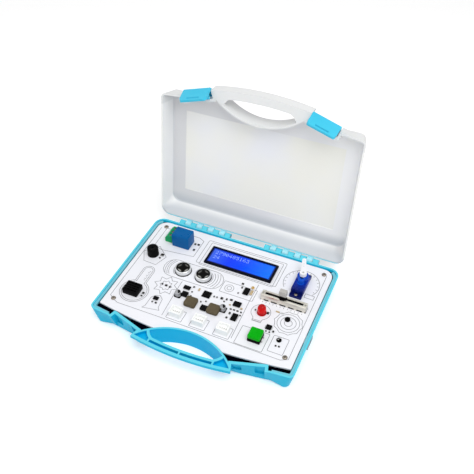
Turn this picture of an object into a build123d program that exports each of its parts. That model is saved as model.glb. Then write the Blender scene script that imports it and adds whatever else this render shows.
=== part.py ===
from build123d import *
import os
from math import asin, cos, degrees, radians, sin, sqrt, tan

# A hinged plastic carrying case with a sensor board in its tray.
# Millimetres, +Z up. The origin is the middle of the tray's underside, the hinge runs along X
# at the back (+Y), and the two half handles are at the front (-Y).
# The lid is drawn closed and then turned open about the hinge, which is how the part rests.

os.makedirs("parts", exist_ok=True)

# Case outline at the rim
case_width = 202.0
rear_y = 70.0
corner_y = -67.0
tip_from_bow = 4.1
tip_y = -78.0
shoulder_from_tip = 30.0
front_slant = 16.9
rear_radius = 10.0
corner_radius = 5.0
shoulder_radius = 3.0
tip_radius = 6.0
wall = 1.8
base_height = 20.0
lid_height = 18.2
rim_gap = 0.3
base_edge_round = 1.5
lid_edge_round = 1.5
edge_steps = 2
rim_overrun = 0.05

# Draft of the walls from the rim to the far face, one value for each side
base_side_draft = 4.6
base_rear_draft = 4.6
base_corner_draft = 0.5
base_tip_draft = 10.6
lid_side_draft = 4.4
lid_rear_draft = 9.5
lid_corner_draft = 1.0
lid_tip_draft = 5.0

# Window on the lid's inner face, a shallow step
window_width = 163.0
window_front_y = -46.6
window_rear_y = 43.0
window_depth = 0.4

# Hollow curve behind the hand opening
bow_y = -118.5
bow_radius = 61.2

# Half handles, a ribbed channel on the tray and a smooth band on the lid
bar_front_y = -85.8
bar_radius = 274.0
bar_width = 8.2
bar_end_from_tip = 1.0
handle_depth = 5.0
handle_round = 2.2
lid_handle_depth = 14.5
lid_handle_round = 3.4
outer_lip = 2.8
inner_lip = 2.6
channel_depth = 3.8
opening_from_tip = 13.0
opening_round = 14.0
end_rib_from_tip = 18.5
handle_rib = 1.6

# Hinge
hinge_y = 73.5
hinge_drop = 1.8
knuckle_radius = 3.0
knuckle_width = 6.0
knuckle_pitch = 13.0
knuckle_gap = 0.5
hinge_group_inset = 53.0
base_knuckles = 5
hinge_pin_radius = 1.2
pin_fit = 0.02
pin_running_fit = 0.05
open_angle = 98.5
stop_gap = 0.3
heel_length = 7.7
web_drop = 11.6

# Latch seats and latches
seat_from_tip = 12.15
seat_half = 14.6
seat_depth = 5.2
seat_foot_depth = 8.45
seat_foot_skew = 0.17
seat_wall = 2.8
seat_top_depth = 9.5
pocket_depth = 1.8
pocket_width = 8.0
pocket_x = 10.0
pocket_ledge = 2.0
pocket_height = 10.0
latch_gap = 0.4
latch_pin_radius = 1.0
latch_pin_inward = 5.0
latch_pin_rise = 10.4
latch_barrel_radius = 2.0
latch_knee = (3.9, 0.0)
latch_foot = (-3.2, -13.7)
latch_foot_radius = 4.0
latch_plate = 2.4
latch_bite = 0.7
latch_rest = 6.5
tooth_width = 6.4
tooth_height = 2.8
lug_radius = 2.2
lug_width = 1.4
latch_slot = (13.2, 1.5)
latch_slot_rise = 2.6
tooth_drop = 0.3

# Panel that carries the modules
panel_side_gap = 5.4
panel_rear_y = 67.0
panel_corner_y = -57.5
panel_front_y = -65.5
panel_thickness = 1.6
panel_drop = 1.5
panel_bow_gap = 2.6
panel_rear_radius = 10.0
post_radius = 3.2
screw_shank = 1.3
screw_head = 2.4
screw_head_height = 1.1
screw_reach = 8.0
screw_fit = 0.05
front_screw = (9.1, -48.0)
rear_screw = (8.6, 60.0)

# Modules on the panel: middle, length along X, length along Y and height, as each one needs
lcd_at = (7.2, 40.2)
lcd_size = (71.2, 24.0)
lcd_height = 2.4
lcd_border = 2.2
lcd_glass_drop = 0.5
relay_at = (-59.2, 44.6)
relay_size = (18.6, 14.2)
relay_height = 15.3
relay_edge = 0.8
terminal_at = (-74.2, 48.5)
terminal_size = (7.6, 16.0)
terminal_height = 8.5
terminal_slope = 3.0
terminal_pitch = 5.0
terminal_bore = 1.8
terminal_bore_depth = 1.6
terminal_screw_drop = 0.4
small_fit = 0.1
buzzer_at = (-80.3, 19.0)
buzzer_radius = 5.8
buzzer_height = 9.5
buzzer_port = 1.2
buzzer_port_depth = 2.0
buzzer_edge = 0.6
humidity_at = (-74.5, -32.5)
humidity_size = (15.5, 13.0)
humidity_height = 5.5
humidity_slots = 4
humidity_slot = (12.4, 1.2)
humidity_slot_depth = 1.2
sonar_at = (-42.0, 10.3)
sonar_pitch = 21.8
sonar_radius = 8.2
sonar_height = 5.0
sonar_wall = 1.2
sonar_depth = 1.6
sonar_mesh_drop = 0.4
servo_at = (71.0, 36.0)
servo_body_size = (12.2, 22.8)
servo_ear = 4.75
servo_ear_thickness = 2.7
servo_top = 4.3
servo_boss_radius = 5.6
servo_boss_height = 3.9
servo_idler_radius = 2.8
servo_shaft_inset = 5.9
servo_spline_radius = 2.2
servo_screw_inset = 2.4
servo_screw_head = (1.9, 1.0)
servo_screw_shank = 0.95
horn_rise = 0.3
horn_hub_radius = 3.4
horn_hub_height = 3.6
horn_thickness = 1.6
horn_length = 18.0
horn_tip_radius = 1.9
horn_rest = 16.0
horn_root = 0.85
horn_holes = (0.5, 0.7, 0.9)
horn_hole_radius = 0.5
horn_screw_radius = 0.9
horn_screw_depth = 1.4
horn_screw_rise = 0.2
slider_at = (64.0, 9.6)
slider_size = (45.0, 7.2)
slider_height = 7.0
slider_slot = (37.3, 2.0)
slider_wall = 0.8
slider_lever_x = 62.6
slider_lever_size = (4.0, 1.2)
slider_cap_size = (7.3, 5.0)
slider_cap_height = 7.0
slider_cap_rise = 3.5
slider_carriage_length = 8.0
slider_play = 0.3
slider_cap_edge = 0.8
led_at = (49.0, -9.0)
led_radius = 4.0
led_flange_radius = 4.6
led_flange_height = 1.4
led_height = 10.5
button_at = (54.8, -38.3)
button_size = 12.0
button_base_height = 3.4
button_cap_height = 3.6
button_stem_radius = 1.7
button_travel = 0.5
button_play = 0.3
button_well_floor = 1.0
button_rest_gap = 0.1
button_cap_edge = 0.9
button_leg = (1.4, 1.0, 1.4)
button_leg_pitch = 4.8
socket_at = ((-22.7, -42.1), (1.1, -42.7), (25.1, -42.9))
socket_size = (11.4, 9.2)
socket_height = 7.0
socket_wall = 1.1
socket_floor = 1.2
socket_notch = (3.0, 2.4)
socket_pins = 4
socket_pin_pitch = 2.0
socket_pin_size = 0.5
socket_pin_height = 4.2

# Small parts: middle, length along X, length along Y, height
main_chip_size = (8.0, 8.0, 1.0)
main_chip_at = (-7.2, -9.3)
inductor_size = (11.5, 11.0, 4.0)
inductor_chamfer = 1.6
inductors_at = ((-16.2, -25.0), (6.9, -24.6))
chips = (
    (-28.1, -8.9, 7.0, 4.2, 1.4),
    (-26.4, -17.6, 6.0, 6.0, 2.2),
    (-2.5, -25.9, 6.4, 5.8, 2.2),
    (24.3, -9.1, 7.6, 5.8, 1.6),
    (28.0, -24.6, 5.4, 8.4, 1.6),
    (26.0, 9.0, 5.4, 8.6, 1.6),
    (61.4, -22.8, 5.4, 5.4, 1.4),
    (-49.2, -32.6, 5.2, 4.0, 1.4),
)
cans_at = ((-31.5, -22.3), (-28.3, -26.9), (15.3, -21.4), (17.0, -26.4))
can_radius = 2.3
can_height = 4.6
gold_at = (29.8, 16.2)
gold_radius = 1.5
gold_height = 1.2
vibration_at = (73.9, -7.5)
vibration_radius = 2.6
vibration_height = 3.4
emitter_at = (75.1, -32.6)
emitter_radius = 2.4
emitter_height = 2.6
crystal_at = (67.0, -2.8)
crystal_size = (3.2, 1.6, 1.2)
trim_size = (1.7, 1.0, 0.8)
trim_at = (
    (-52.5, -13.8), (-48.3, -14.1), (-44.3, -14.5), (-50.3, -37.5), (-46.5, -37.6),
    (-63.4, -32.0), (-63.2, -35.0), (-70.7, 20.6), (-70.7, 15.6), (-46.6, 47.4),
    (-44.4, 49.3), (-44.9, 38.9), (-16.3, -5.1), (-17.6, -11.3), (-0.4, -8.6),
    (2.9, -7.9), (8.0, -7.7), (7.6, -11.3), (12.5, -8.5), (16.6, -6.0),
    (16.4, -10.2), (-4.2, -17.1), (-8.0, -20.1), (20.2, -16.5), (24.1, -16.1),
    (28.3, -16.3), (31.5, -16.9), (21.8, -22.4), (22.3, -28.0), (33.3, -23.3),
    (11.9, 2.2), (19.1, 4.7), (20.5, 0.6), (19.9, 12.7), (59.7, -27.6),
    (62.7, -27.6), (66.8, -25.8), (74.1, -39.7), (78.1, -40.3), (55.6, -7.4),
)

# Port in the right-hand wall
port_y = -21.0
port_length = 14.0
port_rise = 12.4
port_height = 4.2
port_mouth = (9.6, 3.0)
port_out = 1.1
port_recess = 1.2
port_fit = 0.05
usb_length = 7.4
usb_sheet = 0.4

# Places worked out from the sizes above
half = case_width / 2
tip_x = sqrt(bow_radius**2 - (tip_y - bow_y)**2) + tip_from_bow
shoulder_x = tip_x + shoulder_from_tip
shoulder_y = tip_y + shoulder_from_tip * tan(radians(front_slant))
bar_half_length = tip_x - bar_end_from_tip
opening_half = tip_x - opening_from_tip
end_rib_x = tip_x - end_rib_from_tip
panel_half = half - panel_side_gap
servo_ear_length = servo_body_size[1] + 2 * servo_ear
hinge_group_x = half - hinge_group_inset
lid_rim = base_height + rim_gap
panel_top = base_height - panel_drop
panel_bottom = panel_top - panel_thickness
hinge_z = base_height - hinge_drop
seat_x = tip_x + seat_from_tip
seat_y = tip_y + seat_from_tip * tan(radians(front_slant))
bar_centre_y = bar_front_y + bar_radius
hinge_axis = Axis((0, hinge_y, hinge_z), (1, 0, 0))
base_drafts = (base_side_draft, base_rear_draft, base_corner_draft, base_tip_draft)
lid_drafts = (lid_side_draft, lid_rear_draft, lid_corner_draft, lid_tip_draft)


def save(node, shape):
    export_step(shape, f"parts/{node}.step")


def block(middle, size, low, high):
    # upright box given by its middle and lengths in plan and its two heights
    return Pos(middle[0], middle[1], (low + high) / 2) * Box(size[0], size[1], high - low)


def disc(middle, radius, low, high):
    return Pos(middle[0], middle[1], (low + high) / 2) * Cylinder(radius, high - low)


def rounded_face(corners, radii, height=0.0):
    # closed outline of straight sides, each corner an arc of its own radius
    stops = []
    count = len(corners)
    for index in range(count):
        here = Vector(*corners[index])
        back = (Vector(*corners[index - 1]) - here).normalized()
        ahead = (Vector(*corners[(index + 1) % count]) - here).normalized()
        half_angle = radians(back.get_angle(ahead) / 2)
        run = radii[index] / tan(half_angle)
        reach = radii[index] / sin(half_angle) - radii[index]
        middle = here + (back + ahead).normalized() * reach
        stops.append((here + back * run, middle, here + ahead * run))
    edges = []
    for index, (start, middle, end) in enumerate(stops):
        edges.append(ThreePointArc(start, middle, end))
        edges.append(Line(end, stops[(index + 1) % count][0]))
    return Pos(0, 0, height) * make_face(edges)


def moved_in(corners, inset):
    # the same clockwise outline with every side moved inwards
    moved = []
    count = len(corners)
    for index in range(count):
        here = Vector(*corners[index])
        into = (here - Vector(*corners[index - 1])).normalized()
        out = (Vector(*corners[(index + 1) % count]) - here).normalized()
        first = Vector(into.Y, -into.X)
        second = Vector(out.Y, -out.X)
        step = (first + second) * (inset / (1 + first.dot(second)))
        moved.append((here.X + step.X, here.Y + step.Y))
    return moved


def case_section(drafts, share, inset, height):
    # outline of tray or lid, share 0 at the rim and 1 at the far face
    side, rear, corner, tip = [draft * share for draft in drafts]
    right = [
        (half - side, rear_y - rear), (half - side, corner_y + corner),
        (shoulder_x, shoulder_y + (corner + tip) / 2), (tip_x, tip_y + tip),
    ]
    left = [(-x, y) for x, y in reversed(right)]
    radii = [rear_radius - inset, corner_radius - inset, shoulder_radius + inset, tip_radius - inset]
    return rounded_face(moved_in(right + left, inset), radii + radii[::-1], height)


def case_form(drafts, rim, height, inset=0.0, edge_round=0.0):
    # tapered body from the rim to the far face, whose edge is rounded in a few bevels;
    # height is negative for the tray
    rows = [(-rim_overrun if inset else 0.0, inset)]
    turns = [90 * step / edge_steps for step in range(edge_steps + 1)] if edge_round else [90]
    for turn in turns:
        short = inset + edge_round * (1 - sin(radians(turn)))
        rows.append((1 - short / abs(height), inset + edge_round * (1 - cos(radians(turn)))))
    sections = [case_section(drafts, share, inward, rim + height * share) for share, inward in rows]
    return loft(sections, ruled=True)


def bow(radius):
    return disc((0, bow_y), radius, -base_height, base_height + 2 * lid_height)


def bar_arc(profile, start_x, end_x):
    # sweep a profile, drawn at X = 0, along the handle's arc between two stations
    axis = Axis((0, bar_centre_y, 0), (0, 0, 1))
    reach = bar_radius - bar_width / 2
    start = degrees(asin(start_x / reach))
    end = degrees(asin(end_x / reach))
    return revolve(profile.rotate(axis, start), axis, end - start)


def handle_region(x_low, x_high, arc_radius, low):
    # plan area between the tray's hollow curve and the handle's arc, beside the hand opening
    area = Pos(0, bow_y) * Circle(bow_radius + wall / 2)
    area = area & (Pos(0, bar_centre_y) * Circle(arc_radius))
    side = Pos((x_low + x_high) / 2, bow_y + bow_radius / 2) * Rectangle(x_high - x_low, 2 * bow_radius)
    return Pos(0, 0, low) * extrude(area & side, -low)


def opening_end(side, grow):
    # round end of the hand opening, where its inner lip leaves the handle's arc
    middle = (side * (opening_half - opening_round), bar_front_y + bar_width + opening_round)
    return disc(middle, opening_round + grow, -base_height, base_height)


def handle_band(depth, edge):
    # mating plane at Z = 0, the half handle hangs below it
    outer = Plane.YZ * Pos(bar_front_y + bar_width / 2, -depth / 2) * Rectangle(bar_width, depth)
    outer = fillet(outer.vertices().sort_by(Axis.Z)[:2], edge)
    bar = bar_arc(outer, -bar_half_length, bar_half_length)
    for side in (-1, 1):
        ends = sorted((side * (opening_half - opening_round), side * bar_half_length))
        region = handle_region(ends[0], ends[1], bar_radius - bar_width / 2, -depth)
        bar += region - opening_end(side, 0.0)
    return bar


def ribbed_handle():
    bar = handle_band(handle_depth, handle_round)
    channel_width = bar_width - outer_lip - inner_lip
    channel_middle = bar_front_y + outer_lip + channel_width / 2
    channel = Plane.YZ * Pos(channel_middle, -channel_depth / 2) * Rectangle(channel_width, channel_depth)
    for side in (-1, 1):
        stations = sorted((side * handle_rib / 2, side * (end_rib_x - handle_rib / 2)))
        bar -= bar_arc(channel, stations[0], stations[1])
        ends = sorted((side * (end_rib_x + handle_rib / 2), side * bar_half_length))
        pocket = handle_region(ends[0], ends[1], bar_radius - outer_lip, -channel_depth) & bow(bow_radius)
        bar -= pocket - opening_end(side, inner_lip)
    return bar


def seat_depth_at(along, height):
    # how far the tray's latch seat lies behind the wall's line at the rim
    foot = seat_foot_depth - seat_foot_skew * along
    return seat_depth + (foot - seat_depth) * (base_height - height) / base_height


def seat_plane(height):
    # X runs along the slanted front wall away from the middle, Y points into the case
    angle = radians(front_slant)
    return Plane(origin=(seat_x, seat_y, height), x_dir=(cos(angle), sin(angle), 0), z_dir=(0, 0, 1))


def seat_outline(depth_near, depth_far, reach, height):
    outside = -3 * seat_depth
    points = [(-reach, outside), (reach, outside), (reach, depth_far), (-reach, depth_near)]
    return seat_plane(height) * make_face(Polyline(*points, close=True))


def base_seat(grow):
    # wedge that sets the tray's wall back behind the latch
    reach = seat_half + grow
    sections = []
    for height in (0.0, 1.05 * base_height):
        near = seat_depth_at(-reach, height) + grow
        far = seat_depth_at(reach, height) + grow
        sections.append(seat_outline(near, far, reach, height))
    return loft(sections, ruled=True)


def lid_seat(grow):
    # the lid's recess behind a latch, open through the lid's face
    reach = seat_half + grow
    low = seat_depth + grow
    high = seat_top_depth + grow
    top = lid_rim + lid_height + wall
    return loft([seat_outline(low, low, reach, lid_rim - wall), seat_outline(high, high, reach, top)])


def lid_seat_depth_at(rise):
    share = (rise + wall) / (lid_height + 2 * wall)
    return seat_depth + (seat_top_depth - seat_depth) * share


def both_sides(part):
    return part + mirror(part, about=Plane.YZ)


def along_wall(face, start, length):
    # extrude a profile drawn as (outwards, up) about the lid's rim, along the slanted wall
    frame = seat_plane(lid_rim)
    outwards = frame.y_dir * -1
    profile_plane = Plane(origin=frame.origin, x_dir=outwards, z_dir=frame.x_dir * -1)
    return (profile_plane * Pos(0, 0, -start - length)) * extrude(face, length)


def knuckle_stations(side, lid):
    count = base_knuckles - 1 if lid else base_knuckles
    first = -(count - 1) / 2
    return [side * hinge_group_x + (first + index) * knuckle_pitch for index in range(count)]


def lid_knuckle_width():
    return knuckle_pitch - knuckle_width - 2 * knuckle_gap


def side_profile(points):
    # closed outline in the plane across the hinge, points as (y, z)
    return make_face(Polyline(*[(0, y, z) for y, z in points], close=True))


def across(face, middle, width):
    return Pos(middle - width / 2, 0, 0) * extrude(face, width, dir=(1, 0, 0))


def rear_wall_y(height):
    return rear_y - base_rear_draft * (base_height - height) / base_height


def hinge_bore(radius):
    length = base_knuckles * knuckle_pitch * 2 + 2 * hinge_group_x
    return Pos(0, hinge_y, hinge_z) * Rot(0, 90, 0) * Cylinder(radius, length)


def on_knuckle(angle):
    # point just inside the knuckle's round face, the angle in degrees from +Y up to +Z
    reach = knuckle_radius * 0.99
    return (hinge_y + reach * cos(radians(angle)), hinge_z + reach * sin(radians(angle)))


def base_knuckle(middle):
    foot = base_height - web_drop
    web = [
        (rear_wall_y(foot) - wall / 2, foot),
        (rear_wall_y(base_height) - wall / 2, base_height - rim_gap * 1.5),
        on_knuckle(118),
        (hinge_y, hinge_z),
        on_knuckle(-39),
    ]
    barrel = Pos(middle, hinge_y, hinge_z) * Rot(0, 90, 0) * Cylinder(knuckle_radius, knuckle_width)
    return barrel + across(side_profile(web), middle, knuckle_width)


def lid_knuckle(middle):
    slope = lid_rear_draft / lid_height
    top = 1.6 * knuckle_radius
    web = [
        (rear_y - wall * 0.6, lid_rim),
        (hinge_y - knuckle_radius * 0.96, lid_rim),
        (hinge_y, hinge_z),
        on_knuckle(37),
        (rear_y - slope * top - wall * 0.5, lid_rim + top),
    ]
    width = lid_knuckle_width()
    barrel = Pos(middle, hinge_y, hinge_z) * Rot(0, 90, 0) * Cylinder(knuckle_radius, width)
    return barrel + across(side_profile(web), middle, width)


def lid_heel(middle):
    # stop under the open lid's knuckle, which meets the tray's back wall
    high = hinge_z - knuckle_radius / 3
    low = hinge_z - heel_length
    points = [
        (rear_wall_y(high) + stop_gap, high),
        (rear_wall_y(low) + stop_gap, low),
        (rear_wall_y(low) + stop_gap + wall * 1.3, low),
        on_knuckle(-45),
        (hinge_y, hinge_z),
    ]
    return across(side_profile(points), middle, lid_knuckle_width())


def opened(shape):
    return shape.rotate(hinge_axis, -open_angle)


def screw_places():
    return [((panel_half - inset) * side, y) for inset, y in (front_screw, rear_screw) for side in (-1, 1)]


def port_block(length_more, low, high):
    size = (high - low, port_length + length_more)
    return block(((low + high) / 2, port_y), size, port_rise - length_more / 2, port_rise + port_height + length_more / 2)


def base_shell():
    shell = case_form(base_drafts, base_height, -base_height, edge_round=base_edge_round) - bow(bow_radius)
    shell += Pos(0, 0, base_height) * ribbed_handle()
    hollow = case_form(base_drafts, base_height, -base_height, inset=wall) - bow(bow_radius + wall)
    hollow -= both_sides(base_seat(seat_wall))
    shell -= hollow
    shell -= both_sides(base_seat(0.0))
    pocket_top = base_height - pocket_ledge
    for place in (-pocket_x, pocket_x):
        slot = Pos(place, 0, (pocket_top - pocket_height / 2) - base_height) * Box(pocket_width, 4 * seat_top_depth, pocket_height)
        shell -= both_sides(base_seat(pocket_depth) & (seat_plane(base_height) * slot))
    for side in (-1, 1):
        for station in knuckle_stations(side, False):
            shell += base_knuckle(station)
    shell -= hinge_bore(hinge_pin_radius + pin_fit)
    for place in screw_places():
        shell += disc(place, post_radius, wall / 2, panel_bottom)
        shell -= disc(place, screw_shank + screw_fit, panel_bottom - screw_reach, panel_bottom)
    shell -= port_block(2 * port_fit, half - 2 * base_side_draft, half + port_out)
    return shell


def lid_closed():
    shell = case_form(lid_drafts, lid_rim, lid_height, edge_round=lid_edge_round) - bow(bow_radius)
    shell += Pos(0, 0, lid_rim) * mirror(handle_band(lid_handle_depth, lid_handle_round), about=Plane.XY)
    hollow = case_form(lid_drafts, lid_rim, lid_height, inset=wall, edge_round=lid_edge_round - wall / 2)
    hollow -= bow(bow_radius + wall)
    hollow -= both_sides(lid_seat(seat_wall))
    shell -= hollow
    shell -= both_sides(lid_seat(0.0))
    middle = (0, (window_front_y + window_rear_y) / 2)
    ceiling = lid_rim + lid_height - wall
    shell -= block(middle, (window_width, window_rear_y - window_front_y), ceiling - 1, ceiling + window_depth)
    root = -lid_seat_depth_at(latch_pin_rise) - seat_wall / 2
    boss = make_face(Polyline(
        (-latch_pin_inward, latch_pin_rise - lug_radius), (-latch_pin_inward, latch_pin_rise + lug_radius),
        (root, latch_pin_rise + lug_radius), (root, latch_pin_rise - lug_radius), close=True,
    ))
    boss += Pos(-latch_pin_inward, latch_pin_rise) * Circle(lug_radius)
    boss -= Pos(-latch_pin_inward, latch_pin_rise) * Circle(latch_pin_radius + pin_fit)
    bore = Pos(-latch_pin_inward, latch_pin_rise) * Circle(latch_pin_radius + pin_fit)
    for start in (-seat_half - lug_width, seat_half):
        shell += both_sides(along_wall(boss, start, lug_width))
    shell -= both_sides(along_wall(bore, -seat_half - lug_width, 2 * (seat_half + lug_width)))
    for side in (-1, 1):
        for station in knuckle_stations(side, True):
            shell += lid_knuckle(station)
    return shell


def lid_shell():
    shell = opened(lid_closed())
    for side in (-1, 1):
        for station in knuckle_stations(side, True):
            shell += lid_heel(station)
    shell -= hinge_bore(hinge_pin_radius + pin_running_fit)
    return shell


def latch_turned(shape, angle):
    # turn a latch outwards about its own pin
    plane = seat_plane(lid_rim + latch_pin_rise)
    origin = plane.origin + plane.y_dir * latch_pin_inward
    return shape.rotate(Axis(origin, plane.x_dir * -1), angle)


def latch_outline():
    # bent plate from the pin over the knee to the foot, points as (outwards, up)
    pin = Vector(-latch_pin_inward, latch_pin_rise)
    knee = Vector(*latch_knee)
    foot = Vector(*latch_foot)
    upper = (knee - pin).normalized().rotate(Axis.Z, 90)
    lower = (foot - knee).normalized().rotate(Axis.Z, 90)
    bend = (upper + lower) * (latch_plate / (1 + upper.dot(lower)))
    skin = latch_barrel_radius * 0.9
    return [
        pin + upper * skin, knee, foot,
        foot - lower * latch_plate, knee - bend, pin + upper * (skin - latch_plate),
    ]


def latch_face_at(rise):
    # how far out the lower half of the latch's outer face stands at a height
    share = (rise - latch_knee[1]) / (latch_foot[1] - latch_knee[1])
    return latch_knee[0] + (latch_foot[0] - latch_knee[0]) * share


def latch_mask(length):
    # front view of the latch, with the foot's corners rounded
    frame = seat_plane(lid_rim)
    high = latch_pin_rise + 2 * latch_barrel_radius
    front = Pos(0, (high + latch_foot[1]) / 2) * Rectangle(length, high - latch_foot[1])
    front = fillet(front.vertices().sort_by(Axis.Y)[:2], latch_foot_radius)
    front_plane = Plane(origin=frame.origin, x_dir=frame.x_dir, z_dir=frame.y_dir * -1)
    return extrude(front_plane * front, 3 * seat_top_depth, both=True)


def latch_flap():
    # drawn latched on the closed lid, then swung out to its resting place
    length = 2 * (seat_half - latch_gap)
    pin_place = Pos(-latch_pin_inward, latch_pin_rise)
    plate = make_face(Polyline(*latch_outline(), close=True)) + pin_place * Circle(latch_barrel_radius)
    plate -= pin_place * Circle(latch_pin_radius + pin_running_fit)
    flap = along_wall(plate, -length / 2, length) & latch_mask(length)
    slot_width, slot_height = latch_slot
    slot_at = latch_foot[1] + latch_slot_rise
    slot = Pos(latch_face_at(slot_at), slot_at) * Rectangle(4 * latch_plate, slot_height)
    flap -= along_wall(slot, -slot_width / 2, slot_width)
    tooth_top = -rim_gap - pocket_ledge - tooth_drop
    root = latch_face_at(tooth_top - tooth_height) - latch_plate / 4
    for place in (-pocket_x, pocket_x):
        tip = seat_depth_at(place, base_height - pocket_ledge) + latch_bite
        tooth = make_face(Polyline(
            (root, tooth_top), (-tip, tooth_top), (-tip, tooth_top - tooth_height / 2),
            (root, tooth_top - tooth_height), close=True,
        ))
        flap += along_wall(tooth, place - tooth_width / 2, tooth_width)
    return latch_turned(flap, latch_rest)


def latch_pin():
    round_face = Pos(-latch_pin_inward, latch_pin_rise) * Circle(latch_pin_radius)
    reach = seat_half + lug_width
    return along_wall(round_face, -reach, 2 * reach)


def hinge_pin(side):
    reach = (base_knuckles - 1) * knuckle_pitch + knuckle_width
    return Pos(side * hinge_group_x, hinge_y, hinge_z) * Rot(0, 90, 0) * Cylinder(hinge_pin_radius, reach)


def panel():
    corner = sqrt(0.5) * panel_rear_radius
    inner = panel_half - panel_rear_radius
    back = panel_rear_y - panel_rear_radius
    edges = [
        ThreePointArc((-panel_half, panel_corner_y), (0, panel_front_y), (panel_half, panel_corner_y)),
        Line((panel_half, panel_corner_y), (panel_half, back)),
        ThreePointArc((panel_half, back), (inner + corner, back + corner), (inner, panel_rear_y)),
        Line((inner, panel_rear_y), (-inner, panel_rear_y)),
        ThreePointArc((-inner, panel_rear_y), (-inner - corner, back + corner), (-panel_half, back)),
        Line((-panel_half, back), (-panel_half, panel_corner_y)),
    ]
    board = Pos(0, 0, panel_bottom) * extrude(make_face(edges), panel_thickness)
    board -= disc((0, bow_y), bow_radius + panel_bow_gap, panel_bottom, panel_top)
    for place in screw_places():
        board -= disc(place, screw_shank + screw_fit, panel_bottom, panel_top)
    return board


def panel_screws():
    low = panel_bottom - screw_reach + 0.5
    screws = []
    for place in screw_places():
        head = disc(place, screw_head, panel_top, panel_top + screw_head_height)
        screws.append(head + disc(place, screw_shank, low, panel_top))
    return Compound(children=screws)


def lcd_bezel():
    top = panel_top + lcd_height
    frame = block(lcd_at, lcd_size, panel_top, top)
    opening = [length - 2 * lcd_border for length in lcd_size]
    return frame - block(lcd_at, opening, panel_top, top)


def lcd_glass():
    opening = [length - 2 * lcd_border for length in lcd_size]
    return block(lcd_at, opening, panel_top, panel_top + lcd_height - lcd_glass_drop)


def relay():
    case = block(relay_at, relay_size, panel_top, panel_top + relay_height)
    return chamfer(case.edges().group_by(Axis.Z)[-1], relay_edge)


def terminal():
    high = panel_top + terminal_height
    left = terminal_at[0] - terminal_size[0] / 2
    right = left + terminal_size[0]
    points = [
        (left, panel_top), (right, panel_top), (right, high),
        (left + terminal_slope, high), (left, high - terminal_slope),
    ]
    face = Plane.XZ * make_face(Polyline(*points, close=True))
    body = Pos(0, terminal_at[1] + terminal_size[1] / 2, 0) * extrude(face, terminal_size[1])
    for place in terminal_screw_places():
        body -= disc(place, terminal_bore, high - terminal_bore_depth, high)
    return body


def terminal_screw_places():
    middle_x = terminal_at[0] + terminal_slope / 2
    return [(middle_x, terminal_at[1] + step * terminal_pitch) for step in (-1, 0, 1)]


def terminal_screws():
    low = panel_top + terminal_height - terminal_bore_depth
    high = panel_top + terminal_height - terminal_screw_drop
    return Compound(children=[
        disc(place, terminal_bore - small_fit, low, high) for place in terminal_screw_places()
    ])


def buzzer():
    can = disc(buzzer_at, buzzer_radius, panel_top, panel_top + buzzer_height)
    can = chamfer(can.edges().group_by(Axis.Z)[-1], buzzer_edge)
    top = panel_top + buzzer_height
    return can - disc(buzzer_at, buzzer_port, top - buzzer_port_depth, top)


def humidity_sensor():
    top = panel_top + humidity_height
    case = block(humidity_at, humidity_size, panel_top, top)
    pitch = humidity_size[1] / (humidity_slots + 1)
    for index in range(humidity_slots):
        place = (humidity_at[0], humidity_at[1] + (index - (humidity_slots - 1) / 2) * pitch)
        case -= block(place, humidity_slot, top - humidity_slot_depth, top)
    return case


def sonar_places():
    return [sonar_at, (sonar_at[0] + sonar_pitch, sonar_at[1])]


def sonar_can(place):
    top = panel_top + sonar_height
    can = disc(place, sonar_radius, panel_top, top)
    return can - disc(place, sonar_radius - sonar_wall, top - sonar_depth, top)


def sonar_meshes():
    top = panel_top + sonar_height - sonar_mesh_drop
    low = panel_top + sonar_height - sonar_depth
    return Compound(children=[
        disc(place, sonar_radius - sonar_wall - small_fit, low, top) for place in sonar_places()
    ])


def servo_shaft():
    return (servo_at[0], servo_at[1] + servo_body_size[1] / 2 - servo_shaft_inset)


def servo_body():
    ear_top = panel_top + servo_ear_thickness
    top = ear_top + servo_top
    boss_top = top + servo_boss_height
    body = block(servo_at, servo_body_size, panel_top, top)
    body += block(servo_at, (servo_body_size[0], servo_ear_length), panel_top, ear_top)
    shaft = servo_shaft()
    body += disc(shaft, servo_boss_radius, top, boss_top)
    idler = (shaft[0], shaft[1] - servo_boss_radius)
    body += disc(idler, servo_idler_radius, top, boss_top)
    body += disc(shaft, servo_spline_radius, boss_top, boss_top + horn_rise)
    for place in servo_screw_places():
        body -= disc(place, servo_screw_shank + screw_fit, panel_top, ear_top)
    return body


def servo_screw_places():
    reach = servo_ear_length / 2 - servo_screw_inset
    return [(servo_at[0], servo_at[1] + side * reach) for side in (-1, 1)]


def servo_screws():
    ear_top = panel_top + servo_ear_thickness
    screws = []
    for place in servo_screw_places():
        head = disc(place, servo_screw_head[0], ear_top, ear_top + servo_screw_head[1])
        screws.append(head + disc(place, servo_screw_shank, panel_top, ear_top))
    return Compound(children=screws)


def horn_low():
    return panel_top + servo_ear_thickness + servo_top + servo_boss_height + horn_rise


def servo_horn():
    low = horn_low()
    arm = loft([
        Plane.XZ * Rectangle(2 * horn_hub_radius * horn_root, horn_thickness),
        Plane.XZ.offset(-horn_length) * Rectangle(2 * horn_tip_radius, horn_thickness),
    ])
    arm_height = horn_hub_height - horn_thickness
    horn = Pos(0, 0, arm_height / 2 + horn_thickness / 2) * arm
    horn += disc((0, horn_length), horn_tip_radius, arm_height / 2, arm_height / 2 + horn_thickness)
    horn += disc((0, 0), horn_hub_radius, 0, horn_hub_height)
    horn -= disc((0, 0), horn_screw_radius + small_fit, horn_hub_height - horn_screw_depth, horn_hub_height)
    for share in horn_holes:
        horn -= disc((0, horn_length * share), horn_hole_radius, 0, horn_hub_height)
    shaft = servo_shaft()
    return Pos(shaft[0], shaft[1], low) * Rot(0, 0, horn_rest) * horn


def horn_screw():
    top = horn_low() + horn_hub_height
    shaft = servo_shaft()
    return disc(shaft, horn_screw_radius, top - horn_screw_depth, top + horn_screw_rise)


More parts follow.
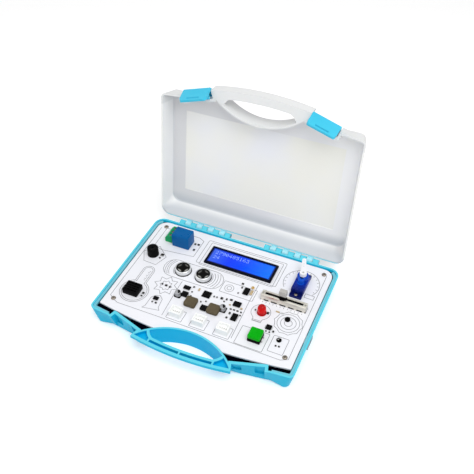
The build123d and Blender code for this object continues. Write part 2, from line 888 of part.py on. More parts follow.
def slider_body():
    top = panel_top + slider_height
    body = block(slider_at, slider_size, panel_top, top)
    inner = [length - 2 * slider_wall for length in slider_size]
    body -= block(slider_at, inner, panel_top + slider_wall, top - slider_wall)
    return body - block(slider_at, slider_slot, top - slider_wall, top)


def slider_lever():
    top = panel_top + slider_height
    place = (slider_lever_x, slider_at[1])
    low = panel_top + slider_wall + slider_play
    carriage_size = (slider_carriage_length, slider_size[1] - 2 * slider_wall - 2 * slider_play)
    lever = block(place, carriage_size, low, top - slider_wall - slider_play)
    lever += block(place, slider_lever_size, low, top + slider_cap_rise)
    cap = block(place, slider_cap_size, top + slider_cap_rise, top + slider_cap_rise + slider_cap_height)
    cap = chamfer(cap.edges().group_by(Axis.Z)[-1], slider_cap_edge)
    return lever + cap


def led_lamp():
    flange_top = panel_top + led_flange_height
    stem_top = panel_top + led_height - led_radius
    lamp = disc(led_at, led_flange_radius, panel_top, flange_top)
    lamp += disc(led_at, led_radius, panel_top, stem_top)
    dome = Pos(led_at[0], led_at[1], stem_top) * Sphere(led_radius)
    return lamp + (dome & disc(led_at, led_radius + 1, stem_top - 0.5, stem_top + led_radius))


def button_base():
    top = panel_top + button_base_height
    base = block(button_at, (button_size, button_size), panel_top, top)
    base -= disc(button_at, button_stem_radius + button_play, panel_top + button_well_floor, top)
    reach = (button_size + button_leg[0]) / 2
    for side in (-1, 1):
        for end in (-1, 1):
            place = (button_at[0] + side * reach, button_at[1] + end * button_leg_pitch / 2)
            base += block(place, button_leg[:2], panel_top, panel_top + button_leg[2])
    return base


def button_cap():
    low = panel_top + button_base_height + button_travel + button_rest_gap
    cap = block(button_at, (button_size, button_size), low, low + button_cap_height)
    cap = fillet(cap.edges().group_by(Axis.Z)[-1], button_cap_edge)
    stem_low = panel_top + button_well_floor + button_travel + button_rest_gap
    return cap + disc(button_at, button_stem_radius, stem_low, low)


def socket(place):
    top = panel_top + socket_height
    body = block(place, socket_size, panel_top, top)
    inner = [length - 2 * socket_wall for length in socket_size]
    body -= block(place, inner, panel_top + socket_floor, top)
    notch = (place[0], place[1] - socket_size[1] / 2 + socket_wall / 2)
    return body - block(notch, (socket_notch[0], socket_wall), top - socket_notch[1], top)


def all_socket_pins():
    pins = []
    low = panel_top + socket_floor
    for place in socket_at:
        for index in range(socket_pins):
            x = place[0] + (index - (socket_pins - 1) / 2) * socket_pin_pitch
            pins.append(block((x, place[1]), (socket_pin_size, socket_pin_size), low, low + socket_pin_height))
    return Compound(children=pins)


def power_inductors():
    coils = []
    for place in inductors_at:
        coil = block(place, inductor_size[:2], panel_top, panel_top + inductor_size[2])
        coils.append(chamfer(coil.edges().filter_by(Axis.Z), inductor_chamfer))
    return Compound(children=coils)


def driver_chips():
    return Compound(children=[
        block((x, y), (length, width), panel_top, panel_top + height) for x, y, length, width, height in chips
    ])


def capacitor_cans():
    return Compound(children=[disc(place, can_radius, panel_top, panel_top + can_height) for place in cans_at])


def chip_trim():
    return Compound(children=[
        block(place, trim_size[:2], panel_top, panel_top + trim_size[2]) for place in trim_at
    ])


def port_bezel():
    low = half - base_side_draft
    frame = port_block(0.0, low, half + port_out - port_recess)
    mouth = (2 * base_side_draft + 4, port_mouth[0])
    middle = port_rise + port_height / 2
    return frame - block((half, port_y), mouth, middle - port_mouth[1] / 2, middle + port_mouth[1] / 2)


def usb_socket():
    # shell that hangs under the panel's edge behind the bezel
    high = half - base_side_draft - 0.2
    middle = port_rise + port_height / 2
    low = middle - port_mouth[1] / 2
    size = (usb_length, port_mouth[0])
    shell = block((high - usb_length / 2, port_y), size, low, panel_bottom)
    depth = usb_length - 1
    mouth = (depth, port_mouth[0] - 2 * usb_sheet)
    return shell - block((high - depth / 2, port_y), mouth, low + usb_sheet, low + port_mouth[1] - usb_sheet)


# Case
save("base_shell", base_shell())
save("lid_shell", lid_shell())
save("hinge_pin_left", hinge_pin(-1))
save("hinge_pin_right", hinge_pin(1))
save("latch_right", opened(latch_flap()))
save("latch_left", opened(mirror(latch_flap(), about=Plane.YZ)))
save("latch_pin_right", opened(latch_pin()))
save("latch_pin_left", opened(mirror(latch_pin(), about=Plane.YZ)))
save("port_bezel", port_bezel())

# Panel and modules
save("panel_board", panel())
save("panel_screws", panel_screws())
save("lcd_bezel", lcd_bezel())
save("lcd_glass", lcd_glass())
save("relay", relay())
save("relay_terminal", terminal())
save("terminal_screws", terminal_screws())
save("buzzer", buzzer())
save("humidity_sensor", humidity_sensor())
save("ultrasonic_can_left", sonar_can(sonar_places()[0]))
save("ultrasonic_can_right", sonar_can(sonar_places()[1]))
save("ultrasonic_meshes", sonar_meshes())
save("servo_body", servo_body())
save("servo_screws", servo_screws())
save("servo_horn", servo_horn())
save("horn_screw", horn_screw())
save("slider_body", slider_body())
save("slider_lever", slider_lever())
save("led_lamp", led_lamp())
save("button_base", button_base())
save("button_cap", button_cap())
for name, place in zip(("left", "middle", "right"), socket_at):
    save(f"signal_socket_{name}", socket(place))
save("socket_pins", all_socket_pins())
save("main_chip", block(main_chip_at, main_chip_size[:2], panel_top, panel_top + main_chip_size[2]))
save("power_inductors", power_inductors())
save("driver_chips", driver_chips())
save("capacitor_cans", capacitor_cans())
save("touch_contact", disc(gold_at, gold_radius, panel_top, panel_top + gold_height))
save("vibration_sensor", disc(vibration_at, vibration_radius, panel_top, panel_top + vibration_height))
save("infrared_receiver", disc(emitter_at, emitter_radius, panel_top, panel_top + emitter_height))
save("crystal_can", block(crystal_at, crystal_size[:2], panel_top, panel_top + crystal_size[2]))
save("chip_trim", chip_trim())
save("usb_socket", usb_socket())
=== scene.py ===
import bpy
import numpy as np
from functools import partialmethod
from math import cos, pi, radians, sin
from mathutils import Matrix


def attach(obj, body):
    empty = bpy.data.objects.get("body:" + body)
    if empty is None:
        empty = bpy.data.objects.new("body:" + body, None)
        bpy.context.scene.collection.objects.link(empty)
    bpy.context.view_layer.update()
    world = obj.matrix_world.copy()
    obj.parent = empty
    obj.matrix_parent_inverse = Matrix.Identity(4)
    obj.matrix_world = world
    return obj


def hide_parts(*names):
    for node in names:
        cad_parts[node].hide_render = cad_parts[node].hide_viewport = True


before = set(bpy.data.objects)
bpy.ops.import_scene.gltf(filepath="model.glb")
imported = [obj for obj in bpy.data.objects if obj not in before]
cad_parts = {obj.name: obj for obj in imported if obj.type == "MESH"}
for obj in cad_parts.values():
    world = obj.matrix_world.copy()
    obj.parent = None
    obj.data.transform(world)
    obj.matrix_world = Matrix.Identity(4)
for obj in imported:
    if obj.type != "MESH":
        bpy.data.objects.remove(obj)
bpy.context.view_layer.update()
scene = bpy.context.scene
scene.view_settings.view_transform = "Standard"
print("frame loaded")

# Lengths below are millimetres, as in the drawing of the case; meshes are made in metres.
mm = 0.001
panelTop = 18.5


class Value:
    # one shader socket; the operators add Math nodes

    def __init__(self, finish, socket):
        self.finish = finish
        self.socket = socket

    def math(self, operation, *others):
        return self.finish.node("ShaderNodeMath", {"operation": operation}, [self, *others])

    __add__ = __radd__ = partialmethod(math, "ADD")
    __mul__ = __rmul__ = partialmethod(math, "MULTIPLY")
    __sub__ = partialmethod(math, "SUBTRACT")
    __truediv__ = partialmethod(math, "DIVIDE")

    def __rsub__(self, other):
        return self.finish.node("ShaderNodeMath", {"operation": "SUBTRACT"}, [other, self])

    def least(self, *others):
        low = self
        for other in others:
            low = low.math("MINIMUM", other)
        return low

    def above(self, edge, soft=0.0):
        # 0 below the edge and 1 above it, over a soft width
        if not soft:
            return self.math("GREATER_THAN", edge)
        return self.finish.node(
            "ShaderNodeMapRange", {"interpolation_type": "SMOOTHSTEP"},
            {"Value": self, "From Min": edge - soft, "From Max": edge + soft})

    def between(self, low, high, soft=0.0):
        return self.above(low, soft) * (1 - self.above(high, soft))


class Finish:
    # a material, with one method that adds any node

    def __init__(self, name, **constants):
        self.material = bpy.data.materials.new(name)
        self.material.use_nodes = True
        self.tree = self.material.node_tree
        self.shader = self.tree.nodes["Principled BSDF"]
        self.place = self.node("ShaderNodeTexCoord", output="Object")
        for key, constant in constants.items():
            self.set(key, constant)

    def node(self, kind, settings=None, inputs=None, output=0):
        made = self.tree.nodes.new(kind)
        for key, setting in (settings or {}).items():
            if key == "stops":
                ramp = made.color_ramp
                while len(ramp.elements) < len(setting):
                    ramp.elements.new(0.5)
                for element, (position, colour) in zip(ramp.elements, setting):
                    element.position = position
                    element.color = rgba(colour)
            else:
                setattr(made, key, setting)
        inputs = dict(enumerate(inputs)) if isinstance(inputs, list) else (inputs or {})
        for key, given in inputs.items():
            self.feed(made.inputs[key], given)
        return Value(self, made.outputs[output])

    def feed(self, socket, given):
        if isinstance(given, Value):
            self.tree.links.new(given.socket, socket)
        elif isinstance(given, tuple) and socket.type == "RGBA":
            socket.default_value = rgba(given)
        else:
            socket.default_value = given

    def set(self, key, given):
        self.feed(self.shader.inputs[key.replace("_", " ")], given)

    def noise(self, scale, detail=2.0, roughness=0.5, place=None):
        # scale is in features per millimetre
        return self.node("ShaderNodeTexNoise", {}, {
            "Vector": place or self.place, "Scale": scale * 1000, "Detail": detail, "Roughness": roughness})

    def mix(self, amount, low, high):
        made = self.tree.nodes.new("ShaderNodeMix")
        made.data_type = "RGBA"
        for key, given in (("Factor_Float", amount), ("A_Color", low), ("B_Color", high)):
            socket = next(s for s in made.inputs if s.identifier == key)
            self.feed(socket, given)
        return Value(self, next(s for s in made.outputs if s.identifier == "Result_Color"))

    def axes(self):
        # the object's own X, Y and Z in millimetres
        split = self.tree.nodes.new("ShaderNodeSeparateXYZ")
        self.tree.links.new(self.place.socket, split.inputs[0])
        return [Value(self, output) * 1000 for output in split.outputs]

    def surface(self, colour, roughness, relief, strength):
        # the relief is a fine bump, a fifth of a millimetre high at full strength
        self.set("Base Color", colour)
        self.set("Roughness", roughness)
        bump = self.node("ShaderNodeBump", {}, {"Height": relief, "Strength": strength, "Distance": 0.0002})
        self.set("Normal", bump)
        return self


def rgba(colour):
    # sRGB numbers from 0 to 255 to linear light
    part = np.array(colour, float) / 255
    linear = np.where(part <= 0.04045, part / 12.92, ((part + 0.055) / 1.055) ** 2.4)
    return (*linear, 1.0)


def moulded(name, colour, other, roughness, grain=1.6, strength=0.12, gloss=0.22, **more):
    # moulded plastic: a little cloudiness in the colour, fine grain, and uneven gloss
    finish = Finish(name, Specular_IOR_Level=gloss, **more)
    cloudy = finish.mix(finish.noise(0.035, 3.0), colour, other)
    uneven = finish.noise(0.3) * 0.16 + (roughness - 0.08)
    return finish.surface(cloudy, uneven, finish.noise(grain, 3.0), strength)


def metal(name, colour, other, roughness, brushed=(1, 1, 1)):
    # one stretched noise makes the streaks in colour, gloss and relief
    finish = Finish(name, Metallic=1.0)
    stretched = finish.node("ShaderNodeMapping", {}, {"Vector": finish.place, "Scale": brushed})
    streak = finish.noise(1.2, 4.0, 0.6, stretched)
    return finish.surface(finish.mix(streak, colour, other), streak * 0.25 + (roughness - 0.12), streak, 0.08)


# Tray: where its walls, rim and inside lie, which its colours follow
tray = {
    "half": 101.0, "rear": 70.0, "sideDraft": 4.6, "rearDraft": 4.6, "height": 20.0, "wall": 1.8,
    "tip": (50.0, -78.0), "slant": 16.9, "cornerY": -67.0, "bow": (-118.5, 61.2),
    "seatX": 62.15, "seatHalf": 17.5, "seatDepth": 9.6, "seatFoot": 3.2, "paintedShadeTop": 17.2,
    "tipDraft": 10.6, "draftFall": 0.198, "rearRadius": 10.0, "hollowGlowColour": (0, 180, 226), "hollowReach": 1.4,
    "hollowAlong": (-80.0, -55.0),
}


def trayPlastic(name, colour, other, rimColour, paintedShadeColour):
    # cyan walls, a painted highlight on the rim's top, a painted glow on the wall round the handle's cut-out,
    # and painted shade, dark navy, inside below the panel's front edge
    finish = Finish(name, Specular_IOR_Level=0.16)
    x, y, z = finish.axes()
    across = x.math("ABSOLUTE")
    low = (tray["height"] - z) / tray["height"]
    half = tray["wall"] / 2
    side = (tray["half"] - half) - across - low * tray["sideDraft"]
    rear = (tray["rear"] - half) - y - low * tray["rearDraft"]
    # the rounded rear corner, from how far a point lies past the round's centre both ways
    radius = tray["rearRadius"] - half
    pastSide = (radius - side).math("MAXIMUM", 0.0)
    pastRear = (radius - rear).math("MAXIMUM", 0.0)
    rounded = radius - (pastSide * pastSide + pastRear * pastRear).math("SQRT")
    slant = radians(tray["slant"])
    inward = (y - tray["tip"][1]) * cos(slant) - (across - tray["tip"][0]) * sin(slant)
    bySeat = 1 - (across - tray["seatX"]).math("ABSOLUTE").above(tray["seatHalf"])
    draft = low * (tray["tipDraft"] - (across - tray["tip"][0]) * tray["draftFall"])
    front = inward - half - draft * (1 - bySeat) - bySeat * (low * tray["seatFoot"] + tray["seatDepth"] - half)
    corner = y - (tray["cornerY"] + half)
    corner = corner + (1 - across.above(tray["seatX"] + tray["seatHalf"])) * 100
    bowY, bowRadius = tray["bow"]
    fromBow = (x * x + (y - bowY) * (y - bowY)).math("SQRT") - (bowRadius + half)
    inside = side.least(rear, rounded, front, corner, fromBow, z - half).above(0.0)
    # painted shade: below this height the tray's inside is coloured dark navy, the shade under the panel
    paintedShade = inside * (1 - z.above(tray["paintedShadeTop"], 0.4))
    cloud = finish.noise(0.03, 3.0)
    walls = finish.mix(cloud, colour, other)
    # painted glow: the wall round the handle's cut-out is coloured a more vivid cyan, for light coming through
    # the translucent plastic
    hollowGlow = (1 - (fromBow + half).above(tray["hollowReach"])) * y.between(*tray["hollowAlong"])
    walls = finish.mix(hollowGlow, walls, tray["hollowGlowColour"])
    # painted highlight: the rim's top face is coloured paler cyan, where light falls on it
    rimHighlighted = finish.mix(z.above(tray["height"] - 0.12), walls, rimColour)
    withPaintedShade = finish.mix(paintedShade, rimHighlighted, paintedShadeColour)
    return finish.surface(withPaintedShade, finish.noise(0.3) * 0.14 + 0.3, finish.noise(1.5, 3.0), 0.1)


# Lid: where its window, border and walls lie when it is closed, and their colours
lid = {
    "hinge": (73.5, 18.2), "open": 98.5, "ceiling": 36.6, "rim": 20.3, "windowHalf": 81.5,
    "windowFront": -46.6, "windowRear": 43.0, "rearBand": 52.0,
    "rimColour": (238, 238, 236), "wallColour": (238, 239, 239), "borderColour": (219, 219, 221),
    "windowColour": (236, 237, 242), "bandColour": (199, 203, 208), "warmColour": (240, 239, 232),
    "handleColour": (225, 226, 226), "handleFrom": -56.0, "rearFrom": 62.0,
    "hingeColour": (168, 226, 238), "hingeTop": 23.0, "hingeFrom": 68.5,
    "sideFrom": 88.0, "sideColour": (225, 225, 226), "borderLitColour": (242, 242, 243),
    "litRightwards": (20.0, 80.0), "warmPatches": (0.52, 0.16),
}


def frostedLid(name):
    # colours laid out in the closed lid's frame: window, border round it with painted light growing to the
    # right, walls and rim
    finish = Finish(name, Specular_IOR_Level=0.25)
    x, y, z = finish.axes()
    turn = radians(lid["open"])
    hingeY, hingeZ = lid["hinge"]
    closedY = (y - hingeY) * cos(turn) - (z - hingeZ) * sin(turn) + hingeY
    closedZ = (y - hingeY) * sin(turn) + (z - hingeZ) * cos(turn) + hingeZ
    across = x.math("ABSOLUTE")
    alongWindow = closedY.between(lid["windowFront"], lid["windowRear"], 0.5)
    inWindow = (1 - across.above(lid["windowHalf"], 0.5)) * alongWindow
    deep = closedZ.above(lid["ceiling"] - 1.2, 0.8)
    soft = finish.noise(0.012)
    window = finish.mix(soft.above(*lid["warmPatches"]), lid["windowColour"], lid["warmColour"])
    # painted light: the border is coloured lighter towards the right, the side the key lamp lights
    borderLitRight = finish.mix(x.above(*lid["litRightwards"]), lid["borderColour"], lid["borderLitColour"])
    border = finish.mix(closedY.above(lid["rearBand"], 6.0), borderLitRight, lid["bandColour"])
    ceiling = finish.mix(inWindow, border, window)
    wall = finish.mix(closedZ.above(lid["rim"] + 0.15), lid["rimColour"], lid["wallColour"])
    rightSide = x.above(lid["sideFrom"], 2.0) * closedZ.above(lid["rim"] + 1.2, 0.5)
    wall = finish.mix(rightSide, wall, lid["sideColour"])
    wall = finish.mix(closedY.above(lid["rearFrom"], 3.0), wall, lid["bandColour"])
    wall = finish.mix(closedY.above(lid["handleFrom"], 1.0), lid["handleColour"], wall)
    byHinge = closedY.above(lid["hingeFrom"]) * (1 - closedZ.above(lid["hingeTop"], 1.0))
    wall = finish.mix(byHinge, wall, lid["hingeColour"])
    finish.set("Subsurface Weight", 0.12)
    finish.shader.inputs["Subsurface Radius"].default_value = (0.004, 0.004, 0.005)
    inner = finish.mix(deep, wall, ceiling)
    return finish.surface(inner, finish.noise(0.25) * 0.14 + 0.36, finish.noise(1.2, 3.0), 0.08)


# the last two colours are the rim's painted highlight and the painted shade inside the tray
casePlastic = trayPlastic("casePlastic", (12, 170, 208), (30, 188, 222), (92, 206, 226), (4, 16, 52))
seatPlastic = moulded("seatPlastic", (100, 184, 202), (120, 198, 214), 0.36)
latchPlastic = moulded("latchPlastic", (50, 184, 218), (74, 200, 230), 0.36)
lidPlastic = frostedLid("lidPlastic")
panelPaint = moulded("panelPaint", (238, 239, 244), (232, 233, 239), 0.45, grain=3.0, strength=0.05)
blackPlastic = moulded("blackPlastic", (2, 2, 3), (8, 8, 9), 0.45, gloss=0.05)
bezelPaint = moulded("bezelPaint", (2, 4, 20), (6, 9, 30), 0.45, gloss=0.06)
portPlastic = moulded("portPlastic", (146, 160, 166), (164, 176, 180), 0.42)
screwGrey = metal("screwGrey", (120, 112, 102), (150, 142, 132), 0.4)
cableGold = moulded("cableGold", (176, 152, 112), (206, 186, 148), 0.45)
relayPlastic = moulded("relayPlastic", (0, 82, 146), (0, 98, 162), 0.3, gloss=0.12)
terminalPlastic = moulded("terminalPlastic", (6, 142, 80), (22, 166, 104), 0.4, gloss=0.12)
buttonPlastic = moulded("buttonPlastic", (0, 158, 6), (2, 172, 16), 0.4, gloss=0.08)
hornPlastic = moulded("hornPlastic", (240, 240, 244), (230, 231, 236), 0.4)
socketPlastic = moulded("socketPlastic", (245, 247, 246), (250, 251, 250), 0.42)
chipPlastic = moulded("chipPlastic", (3, 3, 4), (10, 10, 12), 0.5, grain=4.0, strength=0.2, gloss=0.06)
capPlastic = moulded("capPlastic", (172, 170, 166), (184, 182, 178), 0.4)
ferrite = moulded("ferrite", (76, 67, 50), (100, 90, 70), 0.6, grain=2.4, strength=0.4, gloss=0.12)
steel = metal("steel", (190, 190, 186), (214, 213, 209), 0.32)
sliderSteel = metal("sliderSteel", (214, 209, 198), (228, 224, 214), 0.36, (0.1, 1, 1))
canMetal = metal("canMetal", (218, 220, 220), (236, 237, 237), 0.3)
capacitorMetal = metal("capacitorMetal", (150, 151, 154), (188, 189, 192), 0.45)
goldPlate = metal("goldPlate", (206, 164, 92), (226, 190, 124), 0.35)
solderMetal = metal("solderMetal", (170, 170, 168), (196, 196, 194), 0.4)
printInk = moulded("printInk", (128, 129, 134), (148, 149, 153), 0.5, grain=3.0, strength=0.05)
litDots = moulded(
    "litDots", (128, 164, 255), (152, 184, 255), 0.4, Emission_Strength=0.12, Emission_Color=(128, 164, 255))
resistorBrown = moulded("resistorBrown", (10, 9, 9), (34, 30, 27), 0.45)
print("materials made")

# the corners of a square two wide, counter-clockwise
square = ((-1, -1), (1, -1), (1, 1), (-1, 1))


def around(x, y, radius, turn):
    # points on a circle about (x, y), from the cosine and sine of each turn
    return np.column_stack([x + radius * np.cos(turn), y + radius * np.sin(turn)])


def outline(width, length, radius, steps):
    # points round a rounded rectangle: each quarter turn is an arc about its own corner's middle
    quarter = np.repeat(np.arange(4), steps)
    turn = (quarter + np.tile(np.linspace(0, 1, steps), 4)) * pi / 2
    sideX = np.where((quarter == 0) | (quarter == 3), 1, -1)
    sideY = np.where(quarter < 2, 1, -1)
    return around(sideX * (width / 2 - radius), sideY * (length / 2 - radius), radius, turn)


def skinned(rows):
    # rows of points laid one over the next, joined by four-sided faces and closed at both ends
    rows = np.asarray(rows, float)
    count = rows.shape[1]
    index = np.arange(rows.shape[0] * count).reshape(rows.shape[0], count)
    ahead = np.roll(index, -1, 1)
    sides = np.stack([index[:-1], ahead[:-1], ahead[1:], index[1:]], 2).reshape(-1, 4)
    return rows.reshape(-1, 3), sides.tolist() + [index[0][::-1].tolist(), index[-1].tolist()]


def raised(flat, height):
    # flat points at a height over the panel
    return np.column_stack([flat, np.full(len(flat), panelTop + height)])


def layer(middle, width, length, radius, height, steps):
    # one rounded rectangle laid flat; its corner radius is at most half its shorter side
    radius = max(min(radius, width / 2, length / 2), 0.01)
    return raised(outline(width, length, radius, steps) + middle, height)


def stacked(middle, rows, steps=5):
    # rounded rectangles (width, length, corner radius, height) one over the next
    return skinned([layer(middle, *row, steps) for row in rows])


def carried(middle, size, radius, profile, steps=5):
    # a profile of (inset, height) carried round one rounded rectangle
    rows = [(size[0] - 2 * inset, size[1] - 2 * inset, radius - inset, height) for inset, height in profile]
    return stacked(middle, rows, steps)


def rings(middle, profile, steps):
    # circles: squares whose corner radius is half their side
    return [layer(middle, 2 * radius, 2 * radius, radius, height, steps) for radius, height in profile]


def turnedRound(middle, profile, steps):
    # a profile of (radius, height) turned about an upright axis
    return skinned(rings(middle, profile, steps))


def softBlock(middle, size, height, edge, corner):
    # block with a rounded top edge: two steps of a quarter turn
    profile = [(0, 0), (0, height - edge), (edge * 0.3, height - edge * 0.3), (edge, height)]
    return carried(middle, size, corner, profile, 3)


def joined(*shapes):
    # several shapes as one, each one's faces counted on from the points before it
    points, faces, start = [], [], 0
    for some, those in shapes:
        points.append(np.asarray(some, float))
        faces += [[corner + start for corner in face] for face in those]
        start += len(some)
    return np.concatenate(points), faces


def thickened(shape, depth):
    # a flat mark made solid: each of its faces, run down by the depth
    points, faces = shape
    return joined(*[skinned([points[face] - (0, 0, depth), points[face]]) for face in faces])


def turned(shape, angle, middle):
    # turned about an upright axis through the middle, the angle in degrees
    points = shape[0].copy()
    turn = radians(angle)
    x, y = points[:, 0] - middle[0], points[:, 1] - middle[1]
    points[:, 0] = middle[0] + x * cos(turn) - y * sin(turn)
    points[:, 1] = middle[1] + x * sin(turn) + y * cos(turn)
    return points, shape[1]


def acrossY(profile, low, high):
    # a closed outline of (x, z), clockwise seen from the front, run along Y between two stations
    profile = np.asarray(profile, float)
    rows = [np.column_stack([profile[:, 0], np.full(len(profile), y), profile[:, 1]]) for y in (low, high)]
    return skinned(rows)


def added(name, data):
    made = bpy.data.objects.new(name, data)
    scene.collection.objects.link(made)
    return made


def pieceOf(name, shape, finish, slot, *stands, body="case", smooth=True):
    # one shape or a list of them, in millimetres; the piece's origin stays at the frame's origin
    points, faces = joined(*shape) if isinstance(shape, list) else shape
    mesh = bpy.data.meshes.new(name)
    mesh.from_pydata((points * mm).tolist(), [], faces)
    mesh.validate()
    mesh.polygons.foreach_set("use_smooth", np.full(len(mesh.polygons), smooth))
    mesh.materials.append(finish.material)
    if smooth:
        mesh.set_sharp_from_angle(angle=radians(38))
    piece = added(name, mesh)
    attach(piece, body)
    if stands:
        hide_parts(*stands)


# Camera, standing where the photograph was taken from; places in metres
view = {"place": (0.1874, -0.3851, 0.4950), "azimuth": 23.48, "elevation": 43.50, "lens": 50.66}
camera = bpy.data.cameras.new("camera")
camera.lens = view["lens"]
camera.sensor_width = 36
cameraObject = added("camera", camera)
cameraObject.location = view["place"]
cameraObject.rotation_euler = (radians(90 - view["elevation"]), 0, radians(view["azimuth"]))
scene.camera = cameraObject

# Lights: a soft key from the right, a weaker fill from the left; places in metres
light = {"sky": 0.58, "key": 5.6, "fill": 1.6, "keyAt": (0.35, -0.25, 0.9), "fillAt": (-0.7, -0.5, 0.6)}


def softLamp(name, place, power, size):
    lamp = bpy.data.lights.new(name, "AREA")
    lamp.energy = power
    lamp.size = size
    lampObject = added(name, lamp)
    lampObject.location = place
    # a lamp shines along its own -Z, which here points at the middle of the case
    away = np.array(place) - (0, 0, 0.03)
    tilt = np.arccos(away[2] / np.linalg.norm(away))
    lampObject.rotation_euler = (tilt, 0, np.arctan2(away[1], away[0]) + pi / 2)


softLamp("keyLamp", light["keyAt"], light["key"], 0.7)
softLamp("fillLamp", light["fillAt"], light["fill"], 0.9)

# The world is plain white wherever the camera, a gloss or a clear piece looks at it.
world = bpy.data.worlds.new("studio")
scene.world = world
world.use_nodes = True
sky = world.node_tree
background = sky.nodes["Background"]
background.inputs["Color"].default_value = (1, 1, 1, 1)
path = sky.nodes.new("ShaderNodeLightPath")
seen = path.outputs["Is Camera Ray"]
for ray in ("Is Glossy Ray", "Is Transmission Ray"):
    either = sky.nodes.new("ShaderNodeMath")
    either.operation = "MAXIMUM"
    sky.links.new(seen, either.inputs[0])
    sky.links.new(path.outputs[ray], either.inputs[1])
    seen = either.outputs[0]
power = sky.nodes.new("ShaderNodeMix")
power.inputs["A"].default_value = light["sky"]
power.inputs["B"].default_value = 1.0
sky.links.new(seen, power.inputs["Factor"])
sky.links.new(power.outputs["Result"], background.inputs["Strength"])

# Ground: a wide white sheet just below the case, a little brighter to the camera
ground = {"half": 3000, "drop": 0.2, "white": (250, 250, 250), "lift": 0.25}
groundFinish = Finish("ground", Roughness=0.9, Emission_Color=(255, 255, 255))
groundFinish.set("Base Color", ground["white"])
groundFinish.set("Emission Strength", groundFinish.node("ShaderNodeLightPath") * ground["lift"])
reach = ground["half"] * mm
floorMesh = bpy.data.meshes.new("floor")
floorMesh.from_pydata([(x * reach, y * reach, -ground["drop"] * mm) for x, y in square], [], [(0, 1, 2, 3)])
floorMesh.materials.append(groundFinish.material)
floor = added("floor", floorMesh)
print("camera, lights and ground placed")

# Display: bevelled black bezel, lit window, and plain digits made of square dots
display = {
    "at": (7.2, 40.2), "size": (71.2, 24.0), "view": (66.8, 19.6), "height": 2.4, "drop": 0.5,
    "edge": (1.2, 1.1), "dot": 0.5, "lift": 0.06, "thick": 0.05, "pitch": 0.6, "cell": 3.7,
    "rowStep": 6.4, "firstAt": (-29.4, 6.6), "rows": ("2790485163", "24"),
}
dotRows = {
    "0": (14, 17, 19, 21, 25, 17, 14), "1": (4, 12, 4, 4, 4, 4, 14), "2": (14, 17, 1, 2, 4, 8, 31),
    "3": (31, 2, 4, 2, 1, 17, 14), "4": (2, 6, 10, 18, 31, 2, 2), "5": (31, 16, 30, 1, 1, 17, 14),
    "6": (6, 8, 16, 30, 17, 17, 14), "7": (31, 1, 2, 4, 8, 8, 8), "8": (14, 17, 17, 14, 17, 17, 14),
    "9": (14, 17, 17, 15, 1, 2, 12),
}


def litDisplay(name):
    # blue backlight, softer at the left, brighter at the right, with a darker edge round the view
    finish = Finish(name, Specular_IOR_Level=0.15, Emission_Strength=0.16)
    x, y = finish.axes()[:2]
    middle, view, edge = display["at"], display["view"], display["edge"]
    share = (x - (middle[0] - view[0] / 2)) / view[0]
    ramp = finish.node("ShaderNodeValToRGB", {"stops": [
        (0.0, (60, 98, 218)), (0.3, (16, 48, 226)), (0.55, (8, 66, 238)), (1.0, (8, 112, 244))]}, [share])
    cloud = finish.noise(0.05)
    colour = finish.mix(cloud * 0.3, ramp, (14, 88, 238))
    fromSide = (view[0] / 2 - edge[0]) - (x - middle[0]).math("ABSOLUTE")
    fromEnd = (view[1] / 2 - edge[1]) - (y - middle[1]).math("ABSOLUTE")
    rim = 1 - fromSide.least(fromEnd).above(0.0, 0.35)
    colour = finish.mix(rim * 0.75, colour, (6, 20, 110))
    finish.set("Base Color", colour)
    finish.set("Emission Color", colour)
    finish.set("Roughness", cloud * 0.1 + 0.12)
    return finish


def displayDots():
    # one small square for each lit bit of each digit's seven rows of five
    middles = []
    for line, digits in enumerate(display["rows"]):
        for place, digit in enumerate(digits):
            bits = (np.array(dotRows[digit])[:, None] >> np.arange(4, -1, -1)) & 1
            down, along = np.nonzero(bits)
            steps = np.column_stack([along, -down]) * display["pitch"]
            middles.append(steps + (place * display["cell"], -line * display["rowStep"]))
    middles = np.concatenate(middles) + np.add(display["at"], display["firstAt"])
    corner = np.array(square) * display["dot"] / 2
    flat = (middles[:, None, :] + corner[None]).reshape(-1, 2)
    points = raised(flat, display["height"] - display["drop"] + display["lift"])
    return points, np.arange(len(points)).reshape(-1, 4).tolist()


displayGlass = litDisplay("displayGlass")
w, l = display["size"]
vw, vl = display["view"]
h = display["height"]
bezelRows = [
    (w, l, 0.5, 0), (w, l, 0.5, h - 0.5), (w - 0.4, l - 0.4, 0.5, h - 0.1), (w - 0.9, l - 0.9, 0.4, h),
    (vw + 0.5, vl + 0.5, 0.3, h), (vw, vl, 0.3, h - 0.2), (vw, vl, 0.3, h - 0.7),
    (vw - 1.0, vl - 1.0, 0.3, h - 0.75)]
pieceOf("displayBezel", stacked(display["at"], bezelRows), bezelPaint, "black_plastic", "lcd_bezel")
glassRows = [(vw, vl, 0.2, 0.2), (vw, vl, 0.2, h - 0.62), (vw - 0.3, vl - 0.3, 0.2, h - 0.5)]
pieceOf("displayWindow", stacked(display["at"], glassRows), displayGlass, "display_glass", "lcd_glass")
digits = thickened(displayDots(), display["thick"])
pieceOf("displayDigits", digits, litDots, "display_glass", smooth=False)

# Relay: blue cover with a rounded top edge, a line sunk round its top, a gap at its foot and a small vent
relay = {"at": (-59.2, 44.6), "size": (18.6, 14.2), "height": 15.3, "ventFrom": (-6.2, 3.8)}
h = relay["height"]
cover = carried(relay["at"], relay["size"], 0.8, [
    (0.35, 0), (0.35, 0.5), (0, 0.6), (0, h - 0.9), (0.25, h - 0.3), (0.8, h), (2.0, h), (2.1, h - 0.15),
    (2.4, h - 0.15), (2.5, h)])
ventAt = np.add(relay["at"], relay["ventFrom"])
vent = turnedRound(ventAt, [(0.9, h - 0.05), (0.9, h), (0.5, h), (0.4, h - 0.04)], 5)
pieceOf("relayCover", [cover, vent], relayPlastic, "relay_blue", "relay")

